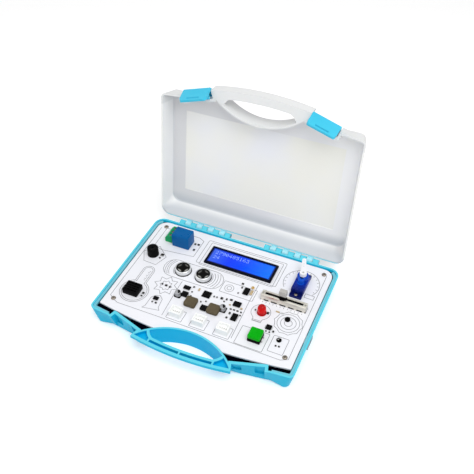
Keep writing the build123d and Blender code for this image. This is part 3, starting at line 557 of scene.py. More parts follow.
# Screw terminal: three cells with a sloped wire side, round wells and slotted screws
terminal = {
    "at": (-74.2, 48.5), "size": (7.6, 16.0), "height": 8.5, "slope": 3.0, "pitch": 5.0, "sill": 2.7,
    "cellHalf": 2.42, "gap": 0.16, "well": 1.8, "deep": 1.6, "head": 1.6, "slot": (2.7, 0.5),
}
h, well, head = terminal["height"], terminal["well"], terminal["head"]
left = terminal["at"][0] - terminal["size"][0] / 2
right = left + terminal["size"][0]
sill = left + terminal["sill"]
endHalf = terminal["size"][1] / 2 - terminal["pitch"]
slopeProfile = [(x, panelTop + z) for x, z in (
    (left, 0), (left, h - 3.4), (left + 0.3, h - 3.0), (sill - 0.1, h - 0.5), (sill, h - 0.5), (sill, 0))]
cells, heads, slots = [], [], []
for step in (-1, 0, 1):
    y = terminal["at"][1] + step * terminal["pitch"]
    low = y - (endHalf if step < 0 else terminal["cellHalf"])
    high = y + (endHalf if step > 0 else terminal["cellHalf"])
    cells.append(acrossY(slopeProfile, low + 0.1, high - 0.1))
    middle = ((sill + right) / 2, (low + high) / 2)
    width, length = right - sill, high - low - terminal["gap"]
    place = (terminal["at"][0] + terminal["slope"] / 2, y)
    cells.append(skinned([
        layer(middle, width, length, 0.2, 0, 6), layer(middle, width, length, 0.2, h - 0.3, 6),
        layer(middle, width - 0.5, length - 0.5, 0.2, h, 6),
        *rings(place, [(well, h), (well - 0.1, h - 0.1), (well - 0.1, h - terminal["deep"])], 6)]))
    heads.append(turnedRound(place, [
        (head, h - 1.7), (head, h - 0.75), (head - 0.15, h - 0.55), (head - 0.4, h - 0.5)], 6))
    slots.append(turned(softBlock(place, terminal["slot"], h - 0.47, 0.02, 0.05), 24 + 31 * step, place))
pieceOf("terminalCells", cells, terminalPlastic, "terminal_green", "relay_terminal")
pieceOf("terminalScrewHeads", heads, screwGrey, "steel", "terminal_screws")
pieceOf("terminalScrewSlots", slots, chipPlastic, "steel")

# Buzzer: drum with a foot ring, a rounded top edge, and its sound hole in a shallow dish
buzzer = {"at": (-80.3, 19.0), "radius": 5.8, "height": 9.5, "hole": 1.2}
r, h, hole = buzzer["radius"], buzzer["height"], buzzer["hole"]
drum = turnedRound(buzzer["at"], [
    (r, 0), (r, 0.9), (r - 0.15, 1.0), (r - 0.15, h - 1.4), (r - 0.22, h - 0.8), (r - 0.5, h - 0.3),
    (r - 1.0, h - 0.05), (r - 1.3, h), (hole + 1.0, h - 0.02), (hole + 0.7, h - 0.2), (hole + 0.3, h - 0.2),
    (hole, h - 0.3), (hole - 0.05, h - 1.9)], 13)
pieceOf("buzzerDrum", drum, blackPlastic, "black_plastic", "buzzer")

# Humidity sensor: rounded housing, a grille of three bars each way in its well, and four teeth at the rear
humidity = {
    "at": (-74.5, -32.5), "size": (15.5, 13.0), "height": 5.5, "deep": 1.2, "bars": (-2.6, 0.0, 2.6),
    "bar": 1.4, "ribs": (-3.9, 0.0, 3.9), "rib": 0.7, "teeth": (-3.8, -1.27, 1.27, 3.8), "tooth": (0.9, 0.9),
}
h = humidity["height"]
x, y = humidity["at"]
w, l = humidity["size"]
shapes = [carried((x, y), (w, l), 0.9, [
    (0.1, 0), (0, 0.3), (0, h - 0.5), (0.18, h - 0.12), (0.5, h), (1.3, h), (1.4, h - 0.1),
    (1.4, h - humidity["deep"])])]
bar, rib = (w - 2.4, humidity["bar"]), (humidity["rib"], l - 2.4)
shapes += [softBlock((x, y + off), bar, h - 0.05, 0.2, 0.2) for off in humidity["bars"]]
shapes += [softBlock((x + off, y), rib, h - 0.25, 0.15, 0.15) for off in humidity["ribs"]]
shapes += [softBlock((x + off, y + l / 2 - 0.5), humidity["tooth"], h, 0.1, 0.1) for off in humidity["teeth"]]
pieceOf("humidityGrille", shapes, blackPlastic, "black_plastic", "humidity_sensor")

# Ultrasonic pair: drawn cans with a rolled lip, each round a dished black mesh
sonar = {"at": ((-42.0, 10.3), (-20.2, 10.3)), "radius": 8.2, "height": 5.0}


def wovenMesh(name):
    # fine black wire mesh, with four pale spots round a dark cross, partly the cone inside showing through and
    # partly painted highlight
    finish = Finish(name, Specular_IOR_Level=0.05)
    x, y = finish.axes()[:2]
    (leftX, meshY), (rightX, meshY) = sonar["at"]
    middle = (leftX + rightX) / 2
    side = x.above(middle) * 2 - 1
    across, along = x - middle - side * ((rightX - leftX) / 2), y - meshY
    turn = radians(22)
    u = across * cos(turn) + along * sin(turn)
    v = along * cos(turn) - across * sin(turn)
    coneAndHighlight = (u * v).math("ABSOLUTE").above(7.4, 2.6) * (1 - (u * u + v * v).above(28.0, 8.0))
    # painted highlight: the two spots on the lower side are made brighter
    coneAndHighlight = coneAndHighlight * (0.22 + 0.5 * (1 - v.above(0.0, 0.6)))
    weave = (x * 5.2).math("SINE") * (y * 5.2).math("SINE")
    black = finish.mix(weave.above(0.1, 0.35), (2, 2, 1), (16, 15, 12))
    return finish.surface(finish.mix(coneAndHighlight, black, (196, 196, 190)), finish.noise(0.8) * 0.2 + 0.4, weave, 0.5)


meshBlack = wovenMesh("meshBlack")
r, h = sonar["radius"], sonar["height"]
meshes, gaskets = [], []
for place, side in zip(sonar["at"], ("left", "right")):
    can = turnedRound(place, [
        (r, 0), (r, 0.35), (r - 0.3, 0.6), (r - 0.3, h - 1.1), (r - 0.38, h - 0.5), (r - 0.62, h - 0.12),
        (r - 0.95, h), (r - 1.25, h - 0.1), (r - 1.4, h - 0.4), (r - 1.4, h - 1.5)], 15)
    gaskets.append(turnedRound(place, [(r + 0.3, 0.0), (r + 0.3, 0.35), (r + 0.15, 0.55), (r - 0.4, 0.6)], 15))
    pieceOf(f"ultrasonicCan{side.title()}", can, canMetal, "can_silver", f"ultrasonic_can_{side}")
    # the mesh is lowest in its middle and rises with the square of the distance from it
    rim = r - 1.35
    dish = [(t, h - 0.75 - 0.45 * (1 - (t / rim) ** 2)) for t in np.linspace(rim - 0.1, 0.3, 8)]
    meshes.append(turnedRound(place, [(rim, h - 1.5)] + dish, 15))
pieceOf("ultrasonicMesh", meshes, meshBlack, "mesh_black", "ultrasonic_meshes")
pieceOf("ultrasonicGaskets", gaskets, chipPlastic, "mesh_black")
print("display, relay, buzzer and sensors made")

# Servo: case over its mounting ears, with gear housing, idler and screws
servo = {
    "at": (71.0, 36.0), "size": (12.2, 22.8), "ears": 32.3, "earTop": 2.7, "top": 7.0, "bossTop": 10.9,
    "bossRadius": 5.6, "idler": 2.8, "shaftInset": 5.9, "screwInset": 2.4, "gearsFrom": 31.0,
    "paleAt": (71.0, 35.4), "paleRadius": 3.6, "darkFrom": 48.0, "seam": (2.7, 3.05),
}


def tintedServo(name):
    # deep blue tinted case, lighter over the gears, partly the gears through the tint and partly painted
    # highlight, with painted highlight on its top and round the idler, and the seam between its two halves
    finish = Finish(name, Specular_IOR_Level=0.12)
    x, y, z = finish.axes()
    gearsAndHighlight = y.above(servo["gearsFrom"], 8.0)
    cloud = finish.noise(0.12, 3.0)
    body = finish.mix(gearsAndHighlight, (5, 3, 80), (5, 42, 156))
    body = finish.mix(cloud * 0.22, body, (12, 72, 190))
    # painted highlight: the upper parts of the boss and the idler are made lighter
    body = finish.mix(z.above(panelTop + 8.0, 1.0) * 0.4, body, (16, 80, 196))
    # painted highlight: a pale disc round the idler
    offX, offY = x - servo["paleAt"][0], y - servo["paleAt"][1]
    fromPale = (offX * offX + offY * offY).math("SQRT")
    body = finish.mix((1 - fromPale.above(servo["paleRadius"], 0.4)) * 0.8, body, (16, 82, 200))
    body = finish.mix(y.above(servo["darkFrom"], 0.8), body, (6, 8, 60))
    seam = z.between(panelTop + servo["seam"][0], panelTop + servo["seam"][1], 0.08)
    seamed = finish.mix(seam, body, (6, 8, 54))
    return finish.surface(seamed, finish.noise(0.4) * 0.15 + 0.2, finish.noise(1.0), 0.06)


def panHead(place, radius, low, high):
    # domed screw head: its profile is part of an ellipse
    turn = np.linspace(0.1, 1, 5) * pi / 2
    dome = [(radius * (0.35 + 0.65 * c), low + (high - low) * s) for c, s in zip(np.cos(turn), np.sin(turn))]
    return turnedRound(place, [(radius, low)] + dome, 7)


def crossRecess(place, radius, height):
    # two thin dark bars, crossed in the middle of the head
    long, thin = radius * 1.5, radius * 0.32
    bars = (((long, thin), height), ((thin, long), height + 0.004))
    return joined(*[softBlock(place, size, top, 0.01, 0.05) for size, top in bars])


def screws(name, node, places, radius, cross, low, high):
    # a domed head with a dark cross on it at each place
    heads = [panHead(place, radius, low, high) for place in places]
    crosses = [crossRecess(place, cross, high + 0.02) for place in places]
    pieceOf(f"{name}Heads", heads, screwGrey, "steel", node)
    pieceOf(f"{name}Crosses", crosses, chipPlastic, "steel")


servoPlastic = tintedServo("servoPlastic")
x, y = servo["at"]
w, l = servo["size"]
shaftY = y + l / 2 - servo["shaftInset"]
top, boss, bossRadius, idler = servo["top"], servo["bossTop"], servo["bossRadius"], servo["idler"]
earTop = servo["earTop"]
shapes = [
    carried((x, y), (w, l), 0.6, [
        (0.1, 0), (0, 0.2), (0, top - 1.2), (0.06, top - 1.1), (0.06, top - 0.5), (0.3, top - 0.1), (0.7, top),
        (1.6, top), (1.7, top - 0.08), (2.0, top - 0.08)]),
    turnedRound((x, shaftY), [
        (bossRadius, top - 0.3), (bossRadius, boss - 0.6), (bossRadius - 0.18, boss - 0.15),
        (bossRadius - 0.6, boss), (3.4, boss), (3.3, boss - 0.1), (3.0, boss - 0.1), (2.9, boss), (2.2, boss),
        (2.2, boss + 0.3)], 11),
    turnedRound((x, shaftY - bossRadius), [
        (idler, top - 0.3), (idler, boss - 0.5), (idler - 0.2, boss - 0.1), (idler - 0.6, boss)], 9),
]
earLength = servo["ears"] / 2 - l / 2 + 0.4
holes = [(x, y + side * (servo["ears"] / 2 - servo["screwInset"])) for side in (-1, 1)]
for side, hole in zip((-1, 1), holes):
    at = (x, y + side * (l / 2 + earLength / 2 - 0.4))
    layers = [layer(at, w - 2 * inset, earLength - 2 * inset, radius, z, 6)
              for inset, radius, z in ((0, 0.9, 0), (0, 0.9, earTop - 0.3), (0.25, 0.8, earTop))]
    shapes.append(skinned(layers + rings(hole, [(1.5, earTop), (1.35, earTop - 0.1), (1.35, 1.5)], 6)))
pieceOf("servoCase", shapes, servoPlastic, "servo_blue", "servo_body")
screws("servoScrew", "servo_screws", holes, radius=1.85, cross=1.0, low=2.2, high=3.6)

panelScrew = {"radius": 2.4, "cross": 1.3, "low": 0.0, "high": 1.1}
places = [(side * x, y) for x, y in ((86.5, -48.0), (87.0, 60.0)) for side in (-1, 1)]
screws("panelScrew", "panel_screws", places, **panelScrew)

# Slide control: sheet-metal channel with lugs and rivets over a black base, and the carriage with its cap
slider = {
    "at": (64.0, 9.6), "size": (45.0, 7.2), "height": 7.0, "slot": (37.3, 2.0), "leverX": 62.6,
    "cap": (7.3, 5.0), "rise": 4.2, "capHeight": 6.3, "lugs": (-20.4, -13.0, -4.6, 4.0, 12.2, 20.2),
    "lug": (2.6, 0.5, 2.1), "rivets": 20.9,
}
x, y = slider["at"]
w, l = slider["size"]
sw, sl = slider["slot"]
h, lug = slider["height"], slider["lug"]
shapes = [stacked((x, y), [
    (w - 0.6, l - 0.6, 0.5, 1.7), (w, l, 0.6, 1.8), (w, l, 0.6, h - 0.7), (w - 0.5, l - 0.5, 0.6, h - 0.15),
    (w - 1.2, l - 1.2, 0.5, h), (sw + 0.4, sl + 0.8, 0.9, h), (sw + 0.2, sl + 0.5, 0.8, h - 0.3),
    (sw + 0.2, sl + 0.5, 0.8, h - 1.0)])]
for side in (-1, 1):
    shapes += [softBlock((x + off, y + side * 3.4), lug[:2], lug[2], 0.1, 0.1) for off in slider["lugs"]]
    shapes.append(turnedRound((x + side * slider["rivets"], y), [
        (0.9, h - 0.1), (0.9, h), (0.5, h), (0.4, h - 0.15)], 5))
pieceOf("sliderChannel", shapes, sliderSteel, "can_silver", "slider_body")
inside = carried((x, y), (w - 0.2, l - 0.2), 0.5, [(0, 0), (0, 1.8), (0.4, 1.85)])
track = softBlock((x, y), (sw + 0.1, sl + 0.4), h - 0.35, 0.1, 0.3)
pieceOf("sliderBase", [inside, track], blackPlastic, "black_plastic")
x = slider["leverX"]
low = h + slider["rise"]
top = low + slider["capHeight"]
stem = [
    softBlock((x, y), (6.8, 4.4), h + 0.3, 0.1, 0.3), softBlock((x, y), (5.2, 3.4), low + 0.1, 0.1, 0.3),
    softBlock((x, y - 1.5), (4.6, 3.6), h + 1.0, 0.2, 0.3)]
pieceOf("sliderStem", stem, blackPlastic, "black_plastic", "slider_lever", body="lever")
cap = carried((x, y), slider["cap"], 0.5, [
    (0.35, low), (0.1, low + 0.3), (0, low + 0.8), (0.1, top - 1.1), (0.3, top - 0.4), (0.8, top - 0.05),
    (1.3, top), (1.9, top - 0.25), (2.2, top - 0.3)])
pieceOf("sliderCap", cap, capPlastic, "black_plastic", body="lever")

# Lamp: flange, straight wall and a dome from a quarter circle
lamp = {"at": (49.0, -9.0), "radius": 4.0, "flange": 4.6, "height": 10.5, "highlightBand": (3.0, 8.5)}


def clearRed(name):
    # tinted epoxy with a faint emission, and a brighter band round the middle height painted as its highlight
    finish = Finish(name, Specular_IOR_Level=0.15, Emission_Strength=0.05)
    z = finish.axes()[2]
    # painted highlight: the dome is coloured brighter between these heights
    highlightBand = z.between(panelTop + lamp["highlightBand"][0], panelTop + lamp["highlightBand"][1], 2.0)
    cloud = finish.noise(0.15)
    colour = finish.mix(highlightBand, (164, 2, 6), (216, 6, 10))
    colour = finish.mix(cloud * 0.15, colour, (240, 36, 30))
    finish.set("Base Color", colour)
    finish.set("Emission Color", colour)
    finish.set("Roughness", cloud * 0.1 + 0.1)
    return finish


lampRed = clearRed("lampRed")
r, h, flange = lamp["radius"], lamp["height"], lamp["flange"]
foot = [(flange - 0.2, 0), (flange, 0.2), (flange, 1.1), (flange - 0.2, 1.4), (r + 0.05, 1.45)]
dome = around(0, h - r, r, np.linspace(0, 0.97, 9) * pi / 2).tolist()
pieceOf("lampDome", turnedRound(lamp["at"], foot + dome, 11), lampRed, "lamp_red", "led_lamp")

# Button: black base with a well and four legs, and a softly crowned square cap on a stem
button = {
    "at": (54.8, -38.3), "size": 12.0, "base": 3.4, "well": 4.1, "floor": 1.2, "capLow": 4.0, "capHeight": 3.6,
    "stem": 1.7, "stemLow": 1.85, "legPitch": 4.8, "leg": (1.4, 1.0, 1.4),
}
x, y = button["at"]
s, h, well = button["size"], button["base"], button["well"]
base = carried((x, y), (s, s), 0.5, [
    (0, 0), (0, h - 0.4), (0.15, h - 0.1), (0.4, h), (well - 0.1, h), (well, h - 0.4), (well, button["floor"])])
legs = []
for side in (-1, 1):
    for end in (-1, 1):
        at = (x + side * (s + button["leg"][0]) / 2, y + end * button["legPitch"] / 2)
        legs.append(softBlock(at, button["leg"][:2], button["leg"][2], 0.4, 0.1))
pieceOf("buttonBase", base, blackPlastic, "black_plastic", "button_base")
pieceOf("buttonLegs", legs, solderMetal, "steel")
low = button["capLow"]
top = low + button["capHeight"]
cap = carried((x, y), (s, s), 1.3, [
    (0.1, low), (0, low + 0.2), (0, top - 0.9), (0.1, top - 0.5), (0.4, top - 0.18), (0.9, top - 0.06),
    (2.4, top - 0.02), (5.0, top)])
stem = turnedRound((x, y), [(button["stem"], button["stemLow"]), (button["stem"], low + 0.1)], 5)
pieceOf("buttonCap", [cap, stem], buttonPlastic, "button_green", "button_cap", body="cap")
print("servo, slide control, lamp and button made")

# Plug sockets: walled housings with guide ribs and four square pins
socket = {
    "at": {"left": (-22.7, -42.1), "middle": (1.1, -42.7), "right": (25.1, -42.9)}, "size": (11.4, 9.2),
    "height": 7.0, "wall": 1.1, "floor": 3.6, "pitch": 2.0, "pin": 0.45, "pinTop": 5.2,
}
w, l = socket["size"]
iw, il = w - 2 * socket["wall"], l - 2 * socket["wall"]
h = socket["height"]
pins = []
for side, (x, y) in socket["at"].items():
    housing = stacked((x, y), [
        (w, l, 0.3, 0), (w, l, 0.3, h - 0.25), (w - 0.4, l - 0.4, 0.3, h), (iw + 0.3, il + 0.3, 0.2, h),
        (iw, il, 0.2, h - 0.25), (iw, il, 0.2, socket["floor"])], 3)
    ribs = [softBlock((x + off, y + l / 2 - 1.35), (0.8, 0.6), h - 0.8, 0.1, 0.05) for off in (-3.2, 3.2)]
    ribs += [softBlock((x + off, y - l / 2 + 1.35), (2.2, 0.6), h - 1.4, 0.1, 0.05) for off in (-3.0, 3.0)]
    node = f"signal_socket_{side}"
    pieceOf(f"socket{side.title()}", [housing, *ribs], socketPlastic, "socket_white", node)
    for index in range(4):
        place = (x + (index - 1.5) * socket["pitch"], y)
        pins.append(softBlock(place, (socket["pin"],) * 2, socket["pinTop"], 0.15, 0.08))
pieceOf("socketPins", pins, screwGrey, "gold", "socket_pins")

# Chips: moulded bodies between rows of legs, each given by its place, width, length and height
chips = {
    "bodies": (
        (-28.1, -8.9, 7.0, 4.2, 1.4), (-26.4, -17.6, 6.0, 6.0, 2.2), (-2.5, -25.9, 6.4, 5.8, 2.2),
        (24.3, -9.1, 7.6, 5.8, 1.6), (28.0, -24.6, 5.4, 8.4, 1.6), (26.0, 9.0, 5.4, 8.6, 1.6),
        (61.4, -22.8, 5.4, 5.4, 1.4), (-49.2, -32.6, 5.2, 4.0, 1.4)),
    "legPitch": 1.27, "legOut": 0.9, "main": (-7.2, -9.3, 8.0, 8.0, 1.0), "mainPitch": 0.8, "mainOut": 0.5,
}


def chipBody(x, y, width, length, height):
    # a block that is widest a little above half way up, where its two mould halves met
    return carried((x, y), (width, length), 0.25, [
        (0.2, 0.1), (0.02, height * 0.45), (0.0, height * 0.55), (0.16, height - 0.06), (0.26, height)], 3)


def chipLegs(x, y, width, length, height, pitch, out):
    # thin strips along the two longer sides; the way turns a pair round where those run along X
    way = 1 if length >= width else -1
    short, long = (width, length)[::way]
    count = max(2, int((long - 0.5) / pitch))
    steps = (np.arange(count) - (count - 1) / 2) * pitch
    size = (out + 0.1, pitch * 0.36)[::way]
    near = (short + out - 0.1) / 2
    places = [np.add((x, y), (side * near, step)[::way]) for step in steps for side in (-1, 1)]
    return [softBlock(place, size, min(0.55, height * 0.5), 0.2, 0.04) for place in places]


legs = []
for chip in chips["bodies"]:
    legs += chipLegs(*chip, chips["legPitch"], chips["legOut"])
legs += chipLegs(*chips["main"], chips["mainPitch"], chips["mainOut"])
bodies = [chipBody(*chip) for chip in chips["bodies"]]
pieceOf("driverChips", bodies, chipPlastic, "black_plastic", "driver_chips")
pieceOf("mainChip", chipBody(*chips["main"]), chipPlastic, "black_plastic", "main_chip")
pieceOf("chipLegs", legs, solderMetal, "steel")

# Power inductors: ferrite blocks with cut corners and a round dimple, on a thin foot
inductor = {"at": ((-16.2, -25.0), (6.9, -24.6)), "size": (11.5, 11.0), "height": 4.0, "dimple": 7.4}
w, l = inductor["size"]
h, dimple = inductor["height"], inductor["dimple"]
rows = [
    (w - 0.9, l - 0.9, 1.8, 0), (w - 0.9, l - 0.9, 1.8, 0.5), (w, l, 1.7, 0.6), (w, l, 1.7, h - 0.7),
    (w - 0.3, l - 0.3, 1.7, h - 0.25), (w - 0.9, l - 0.9, 1.7, h), (dimple, dimple, 3.6, h),
    (dimple - 0.3, dimple - 0.3, 3.5, h - 0.1), (1.0, 1.0, 0.5, h - 0.14)]
blocks = [stacked(place, rows, 4) for place in inductor["at"]]
pieceOf("inductorBlocks", blocks, ferrite, "coil_grey", "power_inductors")

# Capacitor cans: aluminium cans with a crimped neck on black feet, a dark half moon on each top
capacitor = {
    "at": ((-31.9, -20.6), (14.6, -20.3)), "radius": 2.9, "height": 5.4, "foot": 6.5, "footHeight": 1.0,
    "moon": 2.4, "lift": 0.03, "thick": 0.02,
}
r, h = capacitor["radius"], capacitor["height"]
half = np.linspace(-pi / 2, pi / 2, 9) + 0.5
cans, feet, moons = [], [], []
for place in capacitor["at"]:
    cans.append(turnedRound(place, [
        (r, 0.9), (r, 1.3), (r - 0.25, 1.55), (r, 1.8), (r, h - 0.4), (r - 0.12, h - 0.12), (r - 0.4, h)], 7))
    feet.append(softBlock(place, (capacitor["foot"],) * 2, capacitor["footHeight"], 0.1, 0.8))
    moon = raised(around(*place, capacitor["moon"], half), h + capacitor["lift"])
    moons.append((moon, [list(range(len(half)))]))
marks = thickened(joined(*moons), capacitor["thick"])
pieceOf("capacitorCans", cans, capacitorMetal, "can_silver", "capacitor_cans")
pieceOf("capacitorFeet", feet, chipPlastic, "black_plastic")
pieceOf("capacitorMarks", marks, chipPlastic, "black_plastic", smooth=False)

# Small parts: tiny resistors and capacitors with metal ends, each given by its place, width and length
small = {
    "height": 0.9, "end": 0.36,
    "dark": (
        (-71.0, 21.0, 3.0, 3.4), (-71.4, 16.4, 2.0, 1.4), (-47.3, 48.3, 2.2, 1.8), (-43.7, 48.7, 2.8, 1.8),
        (-45.0, 40.0, 1.8, 2.8), (-52.3, -13.9, 2.0, 1.4), (-48.0, -14.1, 2.8, 1.9), (-43.9, -14.6, 2.0, 1.4),
        (-50.5, -37.5, 1.6, 1.4), (-46.7, -37.6, 2.2, 1.6), (-63.4, -31.6, 2.2, 2.4), (-63.4, -35.2, 2.0, 1.4),
        (-21.5, -11.7, 1.7, 1.2), (0.3, -8.8, 1.2, 1.9), (3.2, -8.6, 1.2, 1.9), (8.0, -7.9, 2.8, 2.4),
        (12.7, -7.3, 1.4, 2.6), (17.1, -6.2, 3.0, 1.8), (11.5, -10.6, 1.8, 1.2), (21.0, -16.6, 2.4, 1.1),
        (24.3, -16.4, 2.4, 1.1), (27.8, -16.4, 2.4, 1.1), (22.1, -21.7, 1.7, 2.8), (31.4, -16.6, 1.8, 1.4),
        (32.0, -20.5, 1.5, 1.6), (19.0, 16.9, 2.0, 2.4), (20.2, 12.3, 1.7, 1.7), (74.6, -39.6, 1.9, 1.3),
        (77.6, -39.3, 1.9, 1.3), (60.6, -27.6, 1.6, 1.2), (63.9, -27.6, 1.6, 1.2), (66.9, -25.8, 1.6, 2.4),
        (54.6, -7.4, 2.6, 2.4), (42.4, -8.3, 1.5, 1.4), (19.4, 4.4, 1.6, 1.2), (-4.2, -17.3, 1.7, 1.2),
        (-8.4, -19.6, 1.7, 1.2), (-20.3, -17.0, 1.8, 1.4), (21.4, -27.5, 1.8, 2.2), (-22.4, -5.4, 2.0, 1.4)),
    "pale": (
        (-16.4, -6.6, 1.6, 3.4), (31.0, 9.6, 2.2, 6.6), (29.9, -12.6, 2.0, 2.2), (62.5, -2.4, 4.0, 1.2),
        (18.2, -12.2, 1.8, 1.4)),
}
middles, ends = {"dark": [], "pale": []}, []
for tone, made in middles.items():
    for x, y, w, l in small[tone]:
        way = 1 if w >= l else -1
        long, short = (w, l)[::way]
        made.append(softBlock((x, y), (long - 0.5, short)[::way], small["height"], 0.08, 0.05))
        for side in (-1, 1):
            place = np.add((x, y), (side * (long - small["end"]) / 2, 0)[::way])
            size = (small["end"], short - 0.1)[::way]
            ends.append(softBlock(place, size, small["height"] - 0.06, 0.08, 0.05))
pieceOf("smallBodies", middles["dark"], resistorBrown, "coil_grey", "chip_trim")
pieceOf("smallPaleBodies", middles["pale"], cableGold, "coil_grey")
pieceOf("smallEnds", ends, solderMetal, "steel")

# Round sensors, the crystal and the touch contact
sensors = {
    "shake": (73.9, -7.5), "eye": (75.1, -32.6), "glintSpots": ((0.5, 0.9), (-0.5, -0.9)),
    "crystal": (67.0, -2.8), "crystalSize": (3.2, 1.6), "touch": (29.8, 16.2),
}
shake = turnedRound(sensors["shake"], [(2.6, 0), (2.6, 1.3), (2.45, 1.6), (2.1, 1.7), (0.5, 1.7)], 9)
pieceOf("vibrationCan", shake, blackPlastic, "black_plastic", "vibration_sensor")
eye = turnedRound(sensors["eye"], [
    (2.4, 0), (2.4, 0.9), (2.0, 1.0), (1.9, 1.7), (1.5, 2.3), (0.9, 2.55), (0.3, 2.6)], 9)
pieceOf("infraredEye", eye, blackPlastic, "black_plastic", "infrared_receiver")
# painted highlight: two small pale metal domes on the eye's top stand for its glint
glintSpots = [turnedRound(np.add(sensors["eye"], off), [(0.62, 2.2), (0.6, 2.62), (0.4, 2.74), (0.15, 2.76)], 4)
            for off in sensors["glintSpots"]]
pieceOf("infraredGlintSpots", glintSpots, solderMetal, "steel")
crystal = carried(sensors["crystal"], sensors["crystalSize"], 0.7, [
    (0, 0), (0, 0.25), (0.2, 0.3), (0.2, 1.0), (0.35, 1.2)], 4)
pieceOf("crystalCan", crystal, canMetal, "can_silver", "crystal_can")
touch = turnedRound(sensors["touch"], [
    (1.5, 0), (1.5, 0.9), (1.3, 1.15), (1.0, 1.2), (0.7, 1.05), (0.3, 1.0)], 7)
pieceOf("touchContact", touch, goldPlate, "gold", "touch_contact")
print("sockets, chips and small parts made")

# Flat strips, for the printed lines and for the step beside the panel
lines = {"width": 0.5, "thick": 0.05}


def arc(x, y, radius, start, end, count):
    # part of a circle, at even steps between two angles in degrees
    return around(x, y, radius, np.radians(np.linspace(start, end, count)))


def inked(path, width=lines["width"], closed=False):
    # a thin flat strip: at each point of the path, four corners set off along the mitred normal
    path = np.asarray(path, float)
    ahead = np.roll(path, -1, 0) - path
    behind = path - np.roll(path, 1, 0)
    if not closed:
        ahead[-1], behind[0] = behind[-1], ahead[0]
    ahead /= np.linalg.norm(ahead, axis=1)[:, None]
    behind /= np.linalg.norm(behind, axis=1)[:, None]
    mean = ahead + behind
    mean /= np.maximum(np.linalg.norm(mean, axis=1), 0.3)[:, None]
    share = np.clip((mean * ahead).sum(1), 0.5, 1.0)
    normal = np.column_stack([-mean[:, 1], mean[:, 0]]) / share[:, None] * width / 2
    corners = [(1, 0), (1, lines["thick"]), (-1, lines["thick"]), (-1, 0)]
    rows = np.stack([raised(path + side * normal, rise) for side, rise in corners], 1)
    if not closed:
        return skinned(rows)
    index = np.arange(rows.shape[0] * 4).reshape(-1, 4)
    after, across = np.roll(index, -1, 0), np.roll(index, -1, 1)
    faces = np.stack([index, across, np.roll(after, -1, 1), after], 2).reshape(-1, 4)
    return rows.reshape(-1, 3), faces.tolist()


# Seat beside the panel: a thin step along the inside of each side wall and round its corners
ledge = {
    "x": 97.9, "frontY": -64.4, "shoulder": (81.0, -66.2), "rearY": 58.4, "rearRadius": 8.0, "frontRadius": 2.6,
    "width": 2.7, "top": 19.3, "thick": 2.4,
}
frontRound, rearRound = ledge["frontRadius"], ledge["rearRadius"]
corner = arc(ledge["x"] - frontRound, ledge["frontY"] + frontRound, frontRound, -84, 0, 7)
rear = arc(ledge["x"] - rearRound, ledge["rearY"], rearRound, 0, 62, 9)
steps = []
for side in (-1, 1):
    path = np.concatenate([[ledge["shoulder"]], corner, rear]) * (side, 1)
    points, faces = inked(path[::side], ledge["width"])
    high = points[:, 2] > panelTop + lines["thick"] / 2
    points[:, 2] = np.where(high, ledge["top"], ledge["top"] - ledge["thick"])
    steps.append((points, faces))
pieceOf("panelSeat", steps, seatPlastic, "tray_plastic")

# Printed lines on the panel: plain outlines round the modules, and simple signs for what each one does


def box(x0, y0, x1, y1, radius):
    # a rounded rectangle between two opposite corners
    return outline(x1 - x0, y1 - y0, radius, 5) + ((x0 + x1) / 2, (y0 + y1) / 2)


def thermometer(x, y, bulb, half, top):
    # a bulb with a stem and a round cap, walked counter-clockwise from the stem's right foot
    foot = np.degrees(np.arccos(half / bulb))
    return np.concatenate([arc(x, top - half, half, 0, 180, 12), arc(x, y, bulb, 180 - foot, 360 + foot, 40)])


def starSign(x, y, outer, inner, count):
    # points at even turns, by turns at the outer and the inner distance
    turn = np.arange(2 * count) * pi / count
    reach = np.where(np.arange(2 * count) % 2 == 0, outer, inner)
    return around(x, y, reach, turn)


def bulbSign(x, y, radius, neck, foot):
    # five sixths of a circle, open below, and the two corners of a neck under it
    return np.concatenate([arc(x, y, radius, -60, 240, 30), [(x - neck, foot), (x + neck, foot)]])


signs = {
    "thermometer": (-73.3, -32.0), "star": (-48.6, -14.0), "rings": (76.0, -11.0), "touch": (9.0, 7.0),
    "dial": (70.6, 40.0), "ticks": (15.2, 16.9),
}
loops = [
    thermometer(*signs["thermometer"], 14.0, 5.9, 2.6), thermometer(*signs["thermometer"], 12.3, 4.3, 1.0),
    [(-84.6, 7.2), (-71.0, 6.6), (-66.2, 20.0), (-79.2, 31.4), (-91.0, 19.2)],
    [(-85.4, 31.0), (-75.6, 27.8), (-41.4, 31.6), (-41.2, 55.6), (-47.0, 58.6), (-85.4, 58.6)],
    box(-36.2, 26.2, 49.0, 59.6, 1.4), box(-32.2, 24.6, 46.0, 57.6, 1.0),
    box(-62.4, -1.2, 0.4, 21.6, 10.8),
    starSign(*signs["star"], 12.0, 8.2, 8), starSign(*signs["star"], 6.2, 4.6, 8),
    [(-51.2, -29.0), (-47.0, -27.8), (-43.4, -31.0), (-42.0, -41.6), (-39.8, -44.4), (-56.4, -47.2),
     (-54.6, -44.2), (-54.4, -33.0)],
    box(1.4, 0.0, 35.4, 14.4, 0.8), box(-30.4, -49.0, -15.0, -36.6, 0.6), box(-6.6, -49.6, 8.8, -37.2, 0.6),
    box(17.4, -49.8, 32.8, -37.4, 0.6), bulbSign(48.0, -8.6, 9.2, 4.2, -20.6),
    box(38.8, -51.0, 65.4, -29.6, 1.0), box(69.2, -47.0, 83.6, -28.6, 1.0),
    arc(*signs["rings"], 3.6, 0, 354, 36), arc(*signs["rings"], 7.2, 0, 356, 40),
    arc(*signs["rings"], 10.4, 0, 357, 48), starSign(*signs["rings"], 13.6, 12.4, 10),
    arc(*signs["touch"], 4.4, 0, 354, 30), arc(*signs["touch"], 2.2, 0, 350, 20),
]
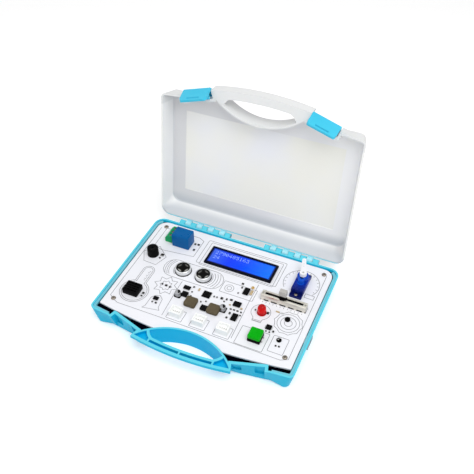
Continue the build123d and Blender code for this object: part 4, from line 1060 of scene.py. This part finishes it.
strokes = [
    [(-91.3, 57.5), (-91.3, -45.4), (-85.7, -49.2), (-80.5, -51.3), (-33.4, -51.2), (83.5, -52.2),
     (90.0, -48.9), (90.0, 59.4)],
    [(-34.7, -48.6), (-36.4, -16.3), (-36.4, -3.2)], [(33.3, 22.5), (33.0, 1.1), (34.8, -47.4)],
    arc(*signs["dial"], 17.6, -36, 216, 40),
    [(78.4, 29.4), (87.6, 29.0), (87.6, 24.4), (78.6, 24.6), (78.4, 29.4)],
    [(43.4, -19.0), (52.4, -18.6)], [(44.0, -20.2), (52.0, -19.8)],
]
# sound waves beside the two cans, then the marks of the thermometer, the servo's dial and the slide control
waves = (
    (sonar["at"][0], 180, ((18.2, 30), (16.2, 36), (14.4, 40), (9.6, 54))),
    (sonar["at"][1], 0, ((17.2, 32), (14.6, 38), (12.0, 46), (9.6, 54))))
strokes += [arc(*at, radius, way - half, way + half, 14) for at, way, pairs in waves for radius, half in pairs]
strokes += [[(-70.2, y), (-71.8 - 0.8 * (step % 2), y)] for step, y in enumerate(np.linspace(-16.0, -3.6, 7))]
strokes += [[np.add(signs["dial"], (reach * cos(turn), reach * sin(turn))) for reach in signs["ticks"]]
            for turn in np.radians(np.linspace(-24, 204, 15))]
strokes += [[(x, 4.9), (x, 3.3)] for x in np.linspace(44.4, 83.6, 12)]
ink = [inked(path, closed=True) for path in loops] + [inked(path) for path in strokes]
pieceOf("panelPrint", ink, printInk, "panel_white", smooth=False)

# The case's own pieces and the few small ones that are used as packed
finishes = {
    casePlastic: ["base_shell"], lidPlastic: ["lid_shell"], latchPlastic: ["latch_left", "latch_right"],
    steel: ["hinge_pin_left", "hinge_pin_right", "usb_socket", "horn_screw"],
    # painted light: the steel latch pins take the paler can metal, to lift the shade round them
    canMetal: ["latch_pin_left", "latch_pin_right"], portPlastic: ["port_bezel"], panelPaint: ["panel_board"],
    hornPlastic: ["servo_horn"],
}
for finish, nodes in finishes.items():
    for node in nodes:
        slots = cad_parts[node].data.materials
        slots.clear()
        slots.append(finish.material)
print("finishes given to", sum(len(nodes) for nodes in finishes.values()), "nodes")
